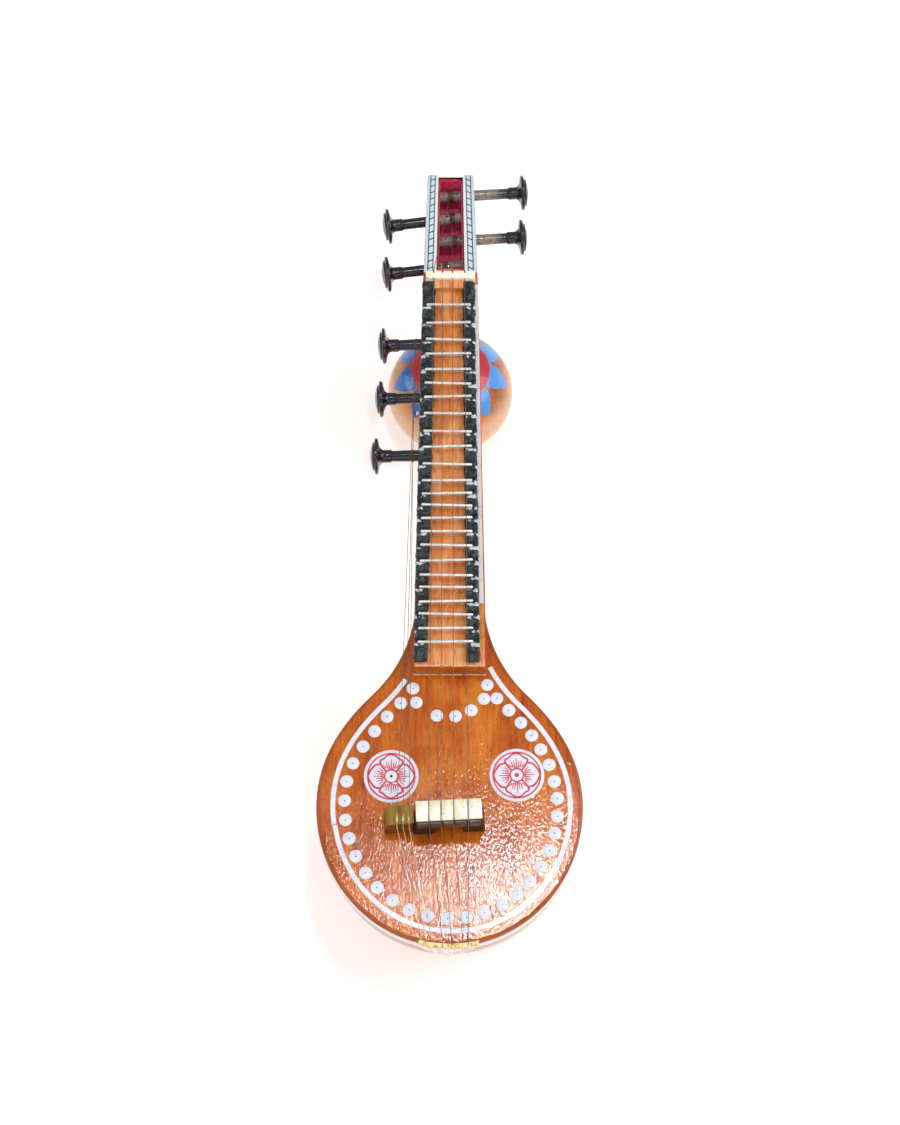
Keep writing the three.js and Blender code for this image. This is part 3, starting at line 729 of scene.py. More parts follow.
PETAL = [
    (0.185, 0.17), (0.26, 0.27), (0.34, 0.38), (0.4, 0.47), (0.42, 0.55), (0.385, 0.615),
    (0.3, 0.645), (0.25, 0.69), (0.2, 0.75), (0.11, 0.8), (0.0, 0.83),
]  # half of a petal's outline, (across, out) as shares of the disc's radius
SIDE_PETAL = [(0.455, 0.43), (0.43, 0.58), (0.33, 0.68), (0.17, 0.79), (0.0, 0.85)]


def ribbon(path, width, low, high):
    """A thin flat strip along (x, station) points; width is a number or a function of 0 to 1."""
    rings = []
    for i, (x, s) in enumerate(path):
        before, after = path[max(i - 1, 0)], path[min(i + 1, len(path) - 1)]
        run = max(math.dist(before, after), 1e-6)
        across = (-(after[1] - before[1]) / run, (after[0] - before[0]) / run)
        half = (width(i / (len(path) - 1)) if callable(width) else width) / 2
        left = (x - across[0] * half, s - across[1] * half)
        right = (x + across[0] * half, s + across[1] * half)
        rings.append([(*left, low), (*right, low), (*right, high), (*left, high)])
    return loft(rings)


def build_rosette(name, centre, dot_radius, turn_by, materials):
    """A white disc with four petals, their strokes and two rings drawn on it."""
    radius = 14.9
    lip = 0.28
    top = TOP_Z + lip

    def lay(path, width, height, turn=0.0):
        c, s = math.cos(turn + turn_by), math.sin(turn + turn_by)
        turned_path = [(x * c - y * s, x * s + y * c) for x, y in path]
        placed = [(centre[0] + radius * x, centre[1] + radius * y) for x, y in turned_path]
        return ribbon(placed, width, top - 0.1, top + height)

    def circle(r, steps):
        angles = [2 * math.pi * i / steps for i in range(steps + 1)]
        return [(r * math.cos(t), r * math.sin(t)) for t in angles]

    def uneven(share):
        return 0.8 + 0.2 * noise.noise(Vector((share * 9, centre[0], radius)))

    def put(a, b, out):
        return (centre[0] + a, centre[1] + b, out)

    disc = [(0.0, -0.4), (radius - 0.05, -0.4), (radius, 0.15), (radius - 0.3, lip), (0.0, lip)]
    shape = turned([(r, TOP_Z + out) for r, out in disc], 96, put)
    solid_piece(name + "_disc", shape, materials["inlay"], slot="white_inlay")
    shapes = [lay(circle(0.862, 90), uneven, 0.05), lay(circle(0.245, 40), 0.85, 0.06)]
    for quarter in range(4):
        turn = quarter * math.pi / 2
        half = PETAL if quarter % 2 == 0 else SIDE_PETAL
        petal = half + [(-x, y) for x, y in reversed(half[:-1])]
        shapes.append(lay(spaced(petal, 60), lambda t: 0.95 + 0.12 * math.sin(9 * t), 0.055, turn))
        for i in range(-3, 4):
            lean = i * 0.08
            reach = 0.66 - 0.06 * abs(i) - (0.05 if i % 2 else 0.0)
            start = 0.26 + 0.014 * abs(i)
            stroke = spaced([(lean * 0.75, start), (lean * 1.25, reach)], 6)
            shapes.append(lay(stroke, lambda t: 0.8 * (1 - 0.55 * t), 0.045, turn))
    red = materials["rosette_red"]
    solid_piece(name + "_drawing", joined(*shapes), red, merge=0, slot="crimson_lining")
    dot = [(0.0, -0.1), (dot_radius, -0.1), (dot_radius, 0.05), (0.0, 0.06)]
    shape = turned([(r, top + out) for r, out in dot], 20, put)
    paint = red if dot_radius > 1 else materials["ink"]
    solid_piece(name + "_centre", shape, paint, slot="crimson_lining")


# ---- Neck ---------------------------------------------------------------------------------


NECK_HALF_AT_BODY = 19.6
NECK_HALF_AT_NUT = 16.0


def along_neck(station, at_body, at_nut):
    """A width or a place that changes evenly from the fretboard's front to the nut."""
    share = (station - FRETBOARD[0][1]) / (FRETBOARD[1][1] - FRETBOARD[0][1])
    return at_body + (at_nut - at_body) * share


def neck_half(station):
    share = min(max((station - SHOULDER_STATION) / (NECK[1][1] - SHOULDER_STATION), 0), 1)
    return NECK_HALF_AT_BODY + (NECK_HALF_AT_NUT - NECK_HALF_AT_BODY) * share


def build_neck(materials):
    """The neck, round below and flat on top; its tenon in the body is cut off square."""
    steps, round_steps = 40, 32
    tenon = 14  # length inside the body
    edge = 0.4
    low, high = NECK
    depth = TOP_Z - low[2]
    rings = []
    for i in range(steps + 1):
        station = low[1] + (high[1] - low[1]) * i / steps
        half = neck_half(station)
        ring = [(-half + edge, high[2]), (-half, high[2] - edge)]
        for k in range(round_steps + 1):
            turn = math.pi * (1 + k / round_steps)
            ring.append((half * math.cos(turn), TOP_Z + depth * math.sin(turn)))
        ring += [(half, high[2] - edge), (half - edge, high[2])]
        lowest = UNDER_Z + 1 if station < SHOULDER_STATION - tenon else low[2] - 1
        rings.append([(x, station, max(z, lowest)) for x, z in reversed(ring)])
    solid_piece("neck_wood", loft(rings), materials["wood"], slot="varnished_wood", replaces=["neck"])
    refined("fretboard", "fretboard_wood", materials["board_wood"], "varnished_wood", 0.2, 2)
    for side in ("left", "right"):
        node, name = "neck_binding_" + side, "neck_edge_" + side
        refined(node, name, materials["binding"], "white_inlay", 0.25, 2)


def fret_stations():
    return [(corners(n)[0][1] + corners(n)[1][1]) / 2 for n in FRET_NAMES]


def rail_section():
    """A rounded bar's outline as (across, up) shares, from its right shoulder round."""

    def shoulder(across, first):
        turns = [math.radians(first + 18 * k) for k in range(6)]
        return [(across + 0.14 * math.cos(t), 0.8 + 0.2 * math.sin(t)) for t in turns]

    top = [(0.86 - 0.72 * k / 8, 1.0) for k in range(1, 8)]
    foot = [(0.0, 0.5), (-0.02, 0.15), (0.02, 0.0), (0.98, 0.0), (1.02, 0.15), (1.0, 0.5)]
    return shoulder(0.86, 0) + top + shoulder(0.14, 90) + foot


def build_rail(side, left, right, materials):
    """A lumpy bar of wax: it swells round each fret, and dips in front of it, where the slope gets a
    painted highlight.
    """
    node = "wax_rail_" + side
    low, high = corners(node)
    foot_z = 98.02
    stations = fret_stations()
    outward = -1 if side == "left" else 1
    # The painted highlight is stronger on the right rail.
    strength = 0.75 if side == "left" else 1.25
    rings = []
    glint_marks = []
    steps = int((high[1] - low[1]) / 0.55)
    for i in range(steps + 1):
        station = low[1] + (high[1] - low[1]) * i / steps
        x0, x1 = along_neck(station, *left), along_neck(station, *right)
        gap = station - min(stations, key=lambda s: abs(s - station))
        hug = math.exp(-((gap / 1.5) ** 2))
        ring = []
        for across, up in rail_section():
            spot = Vector((across * 2.2, station * 0.22, up * 2 + outward * 7))
            lump = noise.noise(spot) + 0.5 * noise.noise(spot * 0.43 + Vector((5, 9, 2)))
            fine = noise.noise(spot * 3.1)
            out_share = across if outward > 0 else 1 - across
            # The slope in front of each fret: lowered a little, and marked for a painted highlight that
            # the wax material paints pale.
            dip_and_glint = math.exp(-(((gap + 1.5 + 0.7 * fine) / 0.95) ** 2))
            dip_and_glint = dip_and_glint * (0.35 + 0.65 * out_share) * strength
            rise = (hug * 1.35 - 0.5 + lump * 0.85 + fine * 0.35 - dip_and_glint * 0.4) * up
            x = x0 + (x1 - x0) * across + (lump * 0.7 + fine * 0.35) * (1 if up > 0.1 else 0.3)
            ring.append((x, station, foot_z + (high[2] - foot_z) * up + rise))
            glint_marks.append(dip_and_glint * smoothstep(up, 0.5, 0.95) * (0.65 + lump))
        rings.append(ring)
    mesh = shape_mesh("wax_" + side, loft(rings), {"smear": glint_marks}, sharp=50)
    add_piece(mesh.name, mesh, materials["wax"], slot="black_wax", replaces=[node])


def build_frets(materials):
    """Round bars with eased ends, each a little out of square."""
    reach = 15.0
    half_width, half_height = 0.8, 0.85
    rings = []
    ends = ((-1.0, 0.35), (-0.99, 0.7), (-0.965, 1.0), (0.965, 1.0), (0.99, 0.7), (1.0, 0.35))
    for x, share in ends:
        ring = []
        for t in round_angles(10):
            place = (half_width * share * math.cos(t), half_height * share * math.sin(t))
            ring.append((x * reach, *place))
        rings.append(ring)
    spots = []
    for i, node in enumerate(FRET_NAMES):
        low, high = corners(node)
        x, station = (low[0] + high[0]) / 2, (low[1] + high[1]) / 2
        tilt = math.radians(1.6 * math.sin(2.3 * i))
        length = (high[0] - low[0]) / (2 * reach)
        spots.append(((x, station, high[2] - half_height - 0.01), (0, 0, tilt), (length, 1, 1)))
    paint = materials["fret"]
    repeated_piece("frets", spots, loft(rings), paint, slot="fret_metal", replaces=FRET_NAMES)


def build_nut(materials):
    """The nut: a rounded bar with a short notch for each melody string on its far edge, and painted
    shade in each notch.
    """
    low, high = NUT
    places = {low[0], low[0] + 0.4, high[0] - 0.4, high[0]}
    for notch in NUT_NOTCHES:
        places |= {notch - 0.55, notch - 0.3, notch, notch + 0.3, notch + 0.55}
    rings = []
    for x in sorted(places):
        cut = max(0.0, 1 - min(abs(x - notch) for notch in NUT_NOTCHES) / 0.5)
        inset = 0.3 if x in (low[0], high[0]) else 0.0
        near, far = low[1] + inset, high[1] - inset
        top = high[2] - inset
        ring = [(near, low[2]), (near, top - 0.9), (near + 0.3, top - 0.25), (near + 0.9, top)]
        ring += [(far - 1.5 - cut * 0.4, top), (far - 0.5 - cut * 0.9, top - cut * 0.5)]
        ring += [(far - cut * 0.9, top - 0.5 - cut * 0.9), (far, low[2])]
        rings.append([(x, s, z) for s, z in reversed(ring)])
    solid_piece("nut_bar", loft(rings), materials["nut"], slot="brass", replaces=["nut"])
    # Painted shade: a dark tube in each notch stands for the shadow in it.
    notch_shades = []
    for notch in NUT_NOTCHES:
        path = [(notch, high[1] - 1.5, high[2] - 0.05), (notch, high[1] - 0.25, high[2] - 0.9)]
        notch_shades.append(tube(spaced(path, 4), lambda t: 0.42))
    solid_piece("nut_notch_marks", joined(*notch_shades), materials["ink"], merge=0, slot="dark_wood")


def build_nut_block(materials):
    """The raised wood between the rails, against the nut."""
    end = NUT[0][1] - 0.2
    foot_z, top_z = 97.8, 103.0
    rings = []
    for station, inset in ((end - 4.9, 0.35), (end - 4.6, 0.05), (end - 0.1, 0.05), (end, 0.3)):
        x0 = along_neck(station, -12.4, -9.3) + 0.1
        x1 = along_neck(station, 9.2, 7.6) - 0.1
        top = top_z - inset
        section = [(x0, foot_z), (x1, foot_z), (x1, top - 0.4), (x1 - 0.4, top)]
        section += [(x0 + 0.4, top), (x0, top - 0.4)]
        rings.append([(x, station, z) for x, z in section])
    solid_piece("nut_block_wood", loft(rings), materials["board_wood"], slot="varnished_wood")


def build_fretboard_end(materials):
    """A painted highlight along the fretboard's front edge, and the glue line at its foot, painted pale
    for the light that it reflects.
    """
    front = FRETBOARD[0][1]
    edge, foot = [], []
    for i in range(61):
        x = -18.6 + 37.2 * i / 60
        wave = 0.12 * noise.noise(Vector((x * 0.7, 0, 0)))
        edge.append((x, front - 0.05 + wave, FRETBOARD[1][2] - 0.1))
    for i in range(81):
        x = -20 + 40 * i / 80
        wave = 0.25 * noise.noise(Vector((x * 0.5, 4, 0)))
        foot.append((x, front - 0.25 + wave, TOP_Z + 0.05))
    # Painted highlight: the edge line stands for the glint on the front edge; the glue line is real,
    # and its pale paint stands for its reflection.
    paint = materials["glue_and_highlight_paint"]
    swept_piece("fretboard_varnish_line", [edge], 0.7, 0.5, paint, slot="white_inlay")
    swept_piece("fretboard_glue_line", [foot], 0.9, 0.5, paint, slot="white_inlay")


# ---- Peg box ------------------------------------------------------------------------------


def taper(x, station):
    return x * (1 - BOX_TAPER * (station - NECK[1][1]) / (BOX_REACH - NECK[1][1]))


def build_ladder(side, materials):
    """The inlaid strip on one wall; it keeps its place across and the count of its rungs."""
    node = "ladder_strip_" + side
    start, under = corners(node)[0][1], 98.3
    sign = -1 if side == "left" else 1
    inner, outer = 8.3, 15.6
    line = [(start + i, under) for i in range(int(BOX_BEND - start) + 1)]
    end = BOX_REACH - 1
    line = spaced(line + cubic((BOX_BEND, under), (461.8, under), (end, 96.8), (end, 84), 40), 150)
    section = [(k / 8, 0.88 if k in (0, 8) else 1.0) for k in range(9)] + [(1.0, 0.0), (0.0, 0.0)]
    rings, across_values, rung_values = [], [], []
    rungs = 0.0
    for i, (station, z) in enumerate(line):
        before, after = line[max(i - 1, 0)], line[min(i + 1, len(line) - 1)]
        run = math.dist(before, after)
        up = (-(after[1] - before[1]) / run, (after[0] - before[0]) / run)
        if i:
            spacing = 5.0 - 1.0 * i / len(line)
            rungs += math.dist(line[i - 1], line[i]) / spacing
        ring = []
        for share, lift in section:
            x = sign * taper(inner + (outer - inner) * share, station)
            ring.append((x, station + up[0] * lift, z + up[1] * lift))
            across_values.append(share)
            rung_values.append(rungs)
        rings.append(ring)
    layers = {"across": across_values, "rungs": rung_values}
    mesh = shape_mesh("ladder_" + side, loft(rings), layers, sharp=50)
    add_piece(mesh.name, mesh, materials["ladder"], slot="white_inlay", replaces=[node])


def build_peg_box(materials):
    wood = materials["wood"]
    refined("peg_box", "peg_box_wood", wood, "varnished_wood", 0.35, 3)
    refined("peg_box_lining", "peg_box_crimson", materials["crimson"], "crimson_lining", 0.15, 2)
    refined("scroll_head", "scroll_head_wood", wood, "varnished_wood", 1.6, 5)
    build_nut(materials)
    for side in ("left", "right"):
        build_ladder(side, materials)


# ---- Pegs ---------------------------------------------------------------------------------


def drone_start(name):
    """Where a drone string leaves its peg, as x in millimetres."""
    string = corners("drone_string_" + name[-1])
    return -(neck_half(string[1][1]) + 3.4)


WINDINGS = {f"melody_peg_{peg + 1}": x for peg, x in zip(MELODY_PEG_OF, MELODY_AT_PEG)}
WINDINGS |= {name: drone_start(name) for name in PEG_NAMES if name.startswith("drone")}


def peg_frame(name):
    """A peg's axis as (point, outward direction) in metres, from its joint."""
    axis = Vector(JOINTS[name]["axis"]).normalized()
    anchor = Vector(JOINTS[name]["pos_m"])
    low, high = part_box(name)
    if axis.x * (low.x + high.x) < 0:
        axis = -axis
    return anchor - axis * (anchor.x / axis.x), axis


def peg_profile(start, dome):
    """The turned peg as (radius, out): a shaft from start, a collar, a wide rim and a dome."""
    face = dome - 3.0
    shaft = [(0.02, start), (2.7, start), (3.05, start + 0.5), (3.2, start + 8), (3.3, start + 20)]
    head = [
        (3.15, -10.0), (3.12, -9.5), (3.55, -9.1), (3.72, -8.7), (3.75, -5.0), (3.68, -4.6),
        (3.8, -4.2), (4.2, -3.4), (5.4, -2.6), (7.6, -2.0), (9.6, -1.65), (10.3, -1.3),
        (10.5, -0.75), (10.5, -0.1), (10.2, 0.35), (9.7, 0.5), (8.5, 0.6), (8.3, 0.85),
        (8.2, 1.4), (7.8, 1.8), (6.0, 2.1), (5.3, 2.4), (3.7, 2.8), (1.9, 2.96), (0.02, 3.0),
    ]
    profile = shaft + [(radius, face + out) for radius, out in head]
    dense = []
    for (r0, o0), (r1, o1) in zip(profile, profile[1:]):
        cuts = max(1, int((o1 - o0) / 2.5))
        dense += [(r0 + (r1 - r0) * k / cuts, o0 + (o1 - o0) * k / cuts) for k in range(cuts)]
    return [*dense, profile[-1]]


def peg_paint(name, axis, materials):
    if name.startswith("drone"):
        return materials["lacquer"]
    return materials["lacquer_worn" if axis.x > 0 else "lacquer_melody"]


def build_peg(name, materials):
    """A turned peg that keeps how far out each point is, its winding and the painted shade of its
    string hole.
    """
    origin, axis = peg_frame(name)
    up = Vector((0, 0, 1))
    across = axis.cross(up).normalized()
    melody = name.startswith("melody")
    lean = abs(axis.x)
    dome = max(abs(corner.x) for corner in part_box(name)) / MM / lean
    profile = peg_profile(-11.0 if melody else dome - 44.0, dome)
    sides = 56

    def put(a, b, out):
        spot = origin + axis * (out * MM) + up * (a * MM) + across * (b * MM)
        return (spot.x / MM, station_of(spot.y), spot.z / MM)

    outs = [out for _, out in profile for _ in range(sides)]
    shape = turned(profile, sides, put)
    mesh = shape_mesh(name + "_turned", shape, {"out": outs}, sharp=28)
    paint = peg_paint(name, axis, materials)
    add_piece(mesh.name, mesh, paint, body=name, slot="dark_lacquer", replaces=[name])

    winds_at = WINDINGS[name] / axis.x
    turns, pitch, radius = (7, 0.46, 3.36) if melody else (3, 0.5, 3.3)
    count = 22 * turns
    drift = 0.05 * math.sin(7 * len(name) + dome - 3.0)
    helix = []
    for i in range(count + 1):
        turn = 2 * math.pi * turns * i / count
        wave = 0.08 * math.sin(turn * 0.37 + drift)
        out = winds_at + pitch * turns * (i / count - 0.5) + wave
        helix.append(put(radius * math.cos(turn), radius * math.sin(turn), out))
    wire = materials["string"]
    swept_piece(
        name + "_winding", [helix], 0.5, 0.5, wire, sides=6, body=name, slot="string_steel"
    )

    # Painted shade: a dark disc on each side of the shaft stands for the string hole.
    hole_at = winds_at + 3.4
    rim = [(0.0, 3.0), (0.6, 3.0), (0.6, 3.3), (0.0, 3.32)]
    hole_shade_discs = [
        turned(rim, 14, lambda a, b, out, way=way: put(way * out, b, hole_at + a)) for way in (-1, 1)
    ]
    ink = materials["ink"]
    solid_piece(name + "_string_holes", joined(*hole_shade_discs), ink, body=name, slot="dark_wood")


# ---- Strings ------------------------------------------------------------------------------


def densely(points, step=6.0):
    """The path with more points on its long runs."""
    made = []
    for a, b in zip(points, points[1:]):
        cuts = max(1, int(math.dist(a, b) / step))
        made += [tuple(p + (q - p) * k / cuts for p, q in zip(a, b)) for k in range(cuts)]
    return made + [tuple(points[-1])]


def tail_edge(x):
    """The station of the rim's tail at a place across it."""
    return 77.5 * (1 - math.sqrt(1 - (x / 72.3) ** 2))


def tail_end(x):
    """A string's last turn, which drops behind the tailpiece's edge."""
    edge = tail_edge(x) + 1.5
    return [(x, edge + 1.6, 86.0), (x, edge + 0.2, 85.95), (x, edge - 0.8, 85.6), (x, edge - 1.1, 84.8)]


def build_strings(materials, settings):
    """The strings: from a winding, over the nut or past it, over a bridge and to the tail."""
    edge = BRIDGE[0][1]
    at_nut, at_bridge = NUT[1][2] - 0.5, BRIDGE[1][2]
    routes = {}
    for i, notch in enumerate(NUT_NOTCHES):
        x = MELODY_AT_BRIDGE[i]
        routes[f"melody_string_{i + 1}"] = [
            (MELODY_AT_PEG[i], WINDING_Z),
            (notch, NUT[1][1] + 0.4, at_nut),
            (notch, NUT[0][1], at_nut),
            (x, edge + 1, at_bridge + 0.32),
            (x + 0.05, edge - 0.4, at_bridge + 0.1),
            *tail_end(MELODY_AT_TAIL[i]),
        ]
    for i, x in enumerate(DRONE_AT_BRIDGE):
        name = f"drone_string_{i + 1}"
        routes[name] = [
            (drone_start(name), WINDING_Z),
            (x, edge + 4, 102.4),
            (x + 0.05, edge - 1, 102.0),
            *tail_end(DRONE_AT_TAIL[i]),
        ]
    width = settings.string_diameter / MM
    for name, ((x, z), *rest) in routes.items():
        path = densely([(x, corners(name)[1][1], z), *rest])
        paint = materials["string" if name.startswith("melody") else "drone_string"]
        swept_piece(
            name + "_wire", [path], width, width, paint, slot="string_steel", replaces=[name]
        )


def build_guide(materials):
    """The flanged stud beside the neck that the drone strings pass."""
    low, high = corners("string_guide")
    station, z = (low[1] + high[1]) / 2, (low[2] + high[2]) / 2
    profile = [(0.0, 0.0), (0.9, 0.0), (0.9, 0.7), (1.3, 0.9), (1.3, 1.4), (0.9, 1.6), (0.0, 1.62)]
    stud = turned(profile, 24, lambda a, b, out: (high[0] - out, station + a, z + b))
    paint = materials["binding"]
    solid_piece("drone_guide_stud", stud, paint, slot="white_inlay", replaces=["string_guide"])


# ---- Bridges and tailpiece ----------------------------------------------------------------


BRIDGE_MIDDLE = (-0.4, 68.8)
BRIDGE_TURN = math.radians(3)
PLATE_HALF_WIDTH = 17.5
PLATE_GROOVES = (-10.6, -3.9, 2.7, 9.9)


def with_bridge(station, section):
    """A section of (x, z) points drawn square to the bridge, turned as the bridge stands."""
    c, s = math.cos(BRIDGE_TURN), math.sin(BRIDGE_TURN)
    middle_x, middle_station = BRIDGE_MIDDLE
    placed = []
    for x, z in section:
        placed.append((middle_x + x * c - station * s, middle_station + x * s + station * c, z))
    return placed


def build_bridge_plate(materials):
    """The brass plate in segments, with a dark bed under them whose colour is painted shade in the
    grooves between them.
    """
    low_z, top_z = BRIDGE[0][2], BRIDGE[1][2]
    foot_z = top_z - 0.75
    half_gap = 0.13
    edges = [-PLATE_HALF_WIDTH, *PLATE_GROOVES, PLATE_HALF_WIDTH]
    profile = ((-5.6, 0.22), (-5.5, 0.06), (-5.35, 0.0), (5.35, 0.0), (5.5, 0.06), (5.6, 0.22))
    shapes = []
    for left, right in zip(edges, edges[1:]):
        a = left + (0.0 if left == edges[0] else half_gap)
        b = right - (0.0 if right == edges[-1] else half_gap)
        rings = []
        for station, drop in profile:
            ease = 0.1 + drop
            side_z, face_z = top_z - ease, top_z - drop
            section = [(a + drop, foot_z), (b - drop, foot_z), (b - drop, side_z)]
            section += [(b - ease - 0.05, face_z), (a + ease + 0.05, face_z), (a + drop, side_z)]
            rings.append(with_bridge(station, section))
        shapes.append(loft(rings))
    brass = materials["bridge_brass"]
    solid_piece("bridge_plate_brass", joined(*shapes), brass, slot="brass", replaces=["bridge_plate"])
    # Painted shade: a dark sheet under the plate stands for the shadow in its grooves.
    half, bed_z = PLATE_HALF_WIDTH - 0.1, top_z - 0.4
    section = [(-half, low_z), (half, low_z), (half, bed_z), (-half, bed_z)]
    bed = loft([with_bridge(station, section) for station in (-5.45, 5.45)])
    solid_piece("bridge_plate_bed", bed, materials["ink"], slot="dark_wood")


def build_bridge(materials):
    """The dark arched base, its plate, the blocks in front of it and the side bridge."""
    refined("bridge_base", "bridge_base_wood", materials["dark_wood"], "dark_wood", 0.3, 3)
    build_bridge_plate(materials)
    low_z, top_z = 98.8, 107.2
    edges = [-PLATE_HALF_WIDTH, *PLATE_GROOVES, PLATE_HALF_WIDTH]
    blocks = []
    for left, right in zip(edges, edges[1:]):
        rings = []
        for station, inset in ((-6.9, 0.3), (-6.6, 0.0), (-5.4, 0.0)):
            a, b = left + 0.6 + inset, right - 0.6 - inset
            low, top = low_z + inset, top_z - inset
            rings.append(with_bridge(station, [(a, low), (b, low), (b, top), (a, top)]))
        blocks.append(loft(rings))
    paint = materials["block_wood"]
    solid_piece("bridge_front_blocks", joined(*blocks), paint, merge=0, slot="dark_wood")
    refined("side_bridge", "side_bridge_brass", materials["olive_brass"], "brass", 0.3, 3)


def build_side_bridge_grooves(materials):
    """Bright worn grooves where the drone strings cross the side bridge."""
    shapes = []
    for x in DRONE_AT_BRIDGE:
        over = [(x + 0.1, 70.5, 101.1), (x, 66.4, 101.35), (x - 0.05, 64.9, 101.2)]
        down = [(x - 0.1, 64.3, 99.6), (x - 0.1, 64.15, 95.0)]
        path = spaced(over + down, 24)
        shapes.append(tube(path, lambda t: 0.12 + 0.42 * math.sin(math.pi * t) ** 2))
    brass = materials["bridge_brass"]
    solid_piece("side_bridge_grooves", joined(*shapes), brass, merge=0, slot="brass")


def build_tailpiece(materials):
    """The brass strip round the tail and its two nails."""
    refined("tailpiece", "tailpiece_brass", materials["tail_brass"], "brass", 0.2, 2)
    outermost = corners("tailpiece")[0][1] + 0.46
    profile = [(0.02, -0.3), (0.75, -0.3), (0.75, 0.1), (0.5, 0.35), (0.02, 0.45)]
    nails = []
    for x, z in ((-1.4, 70.2), (2.6, 70.8)):
        edge = outermost + tail_edge(x)
        nails.append(turned(profile, 16, lambda a, b, out, x=x, z=z, e=edge: (x + a, e - out, z + b)))
    solid_piece("tailpiece_nails", joined(*nails), materials["ink"], slot="dark_wood")


# ---- Gourd --------------------------------------------------------------------------------


def build_gourd(materials):
    """The gourd's shell on its flat foot, with the seat of its collar, and the collar."""
    radius = (GOURD[1][0] - GOURD[0][0]) / 2
    half_height, centre_z, seat_radius, bore = 31.5, 30.0, 16.0, 6.0
    lowest = -math.asin(centre_z / half_height)
    highest = math.acos(seat_radius / radius)
    pole = 0.02  # radius of the small face that closes each end
    steps = 44
    profile = [(pole, 0.0)]
    for i in range(steps + 1):
        turn = lowest + (highest - lowest) * i / steps
        profile.append((math.cos(turn) * radius, max(centre_z + math.sin(turn) * half_height, 0.0)))
    seat = profile[-1][1]
    profile += [(bore, seat + 0.2), (bore, GOURD[1][2]), (pole, GOURD[1][2])]
    shape = turned(profile, 128, lambda a, b, out: (a, GOURD_STATION + b, out))
    paint = materials["gourd"]
    riding = {"body": "gourd", "slot": "painted_gourd", "replaces": ["gourd"]}
    solid_piece("gourd_shell", shape, paint, **riding)
    refined("gourd_collar", "gourd_collar_wood", materials["wood"], "varnished_wood", 0.3, 3)


# ---- Materials ----------------------------------------------------------------------------


def wood_material(name, tones):
    """Varnished wood: long grain, clouds, pores, knots, a darker rim and a stain on top."""
    paint = Paint(name)
    wide = paint.noise(paint.place((1, 0.16, 1)), 75, 4, 0.62, 1.2)
    fine = paint.noise(paint.place((1, 0.08, 1)), 560, 4, 0.65, 0.3)
    cloud = paint.noise(paint.place((1, 0.7, 1)), 42, 4, 0.6, 0.6)
    pores = paint.step(paint.noise(paint.place((1, 0.12, 1)), 1250, 2, 0.6), 0.55, 0.68)
    knots = paint.step(paint.noise(paint.place((1, 0.6, 1)), 95, 3, 0.6, 1.5), 0.62, 0.74)
    dark, middle, light = (colour(tone) for tone in tones)
    base = paint.mix(dark, middle, paint.step(wide * 0.35 + fine * 0.35 + cloud * 0.3, 0.33, 0.5))
    glow = paint.step(cloud * 0.5 + wide * 0.2 + fine * 0.3, 0.46, 0.62)
    base = paint.mix(base, light, glow * 0.75)
    base = paint.mix(base, dark, pores * 0.45)
    base = paint.mix(base, dark, knots * 0.5)
    # Darker towards the soundboard's rim, by how near to it each point is.
    base = paint.mix(base, colour("8a3a0e"), paint.attribute("rim") * 0.7)

    x, y, z = paint.axes(paint.place())
    stain_x, stain_y = 0.0135, TAIL_Y + 0.1435
    across, along = abs(x - stain_x) / 0.0052, abs(y - stain_y) / 0.0095
    ragged = (paint.noise(paint.place(), 160, 3) - 0.5) * 4.5
    stain = 1 - paint.step(across * across + along * along + ragged, 0.2, 1.6)
    on_top = paint.step(z, 0.0825, 0.0835)
    base = paint.mix(base, colour("cf8414"), stain * on_top * 0.75)

    peel = paint.noise(paint.place((1, 0.6, 1)), 800, 2, 0.5)
    ripple = paint.noise(paint.place((1, 0.3, 1)), 170, 2, 0.5)
    rough = paint.step(cloud, 0.35, 0.7) * 0.04 + 0.07
    normal = paint.bump(peel * 0.9 + ripple * 0.5 - pores * 0.2, 0.12)
    return paint.finish(base_color=base, roughness=rough, normal=normal, specular_ior_level=0.42)


def wax_material():
    """Black wax, dusty, with a painted highlight on the slope in front of each fret."""
    paint = Paint("black_wax_lumps")
    mottle = paint.noise(paint.place(), 300, 4, 0.65)
    smear = paint.attribute("smear")
    base = paint.mix(colour("0a0f11"), colour("252f31"), paint.step(mottle, 0.35, 0.65))
    streak = paint.noise(paint.place((1, 1.5, 1)), 520, 4, 0.75)
    # Painted highlight: pale where the slope in front of a fret catches the light.
    pale = paint.step(smear * 1.5 + streak * 1.7 - 1.05, 0.3, 0.5)
    base = paint.mix(base, colour("d3dade"), pale * 0.9)
    dust = paint.step(paint.noise(paint.place(), 900, 2), 0.63, 0.75)
    base = paint.mix(base, colour("5c6b66"), dust * 0.35)
    normal = paint.bump(mottle, 0.8, 0.8)
    return paint.finish(base_color=base, roughness=0.18 + mottle * 0.25, normal=normal)


def mottled_material(name, light, dark, rough, metallic, scale=260, stretch=(1, 1, 1)):
    """Metal or dark wood, mottled between two tones."""
    paint = Paint(name)
    mottle = paint.noise(paint.place(stretch), scale, 4, 0.65)
    base = paint.mix(colour(dark), colour(light), paint.step(mottle, 0.3, 0.62))
    normal = paint.bump(mottle, 0.04, 0.5)
    rough = rough + mottle * 0.15
    return paint.finish(base_color=base, roughness=rough, metallic=metallic, normal=normal)


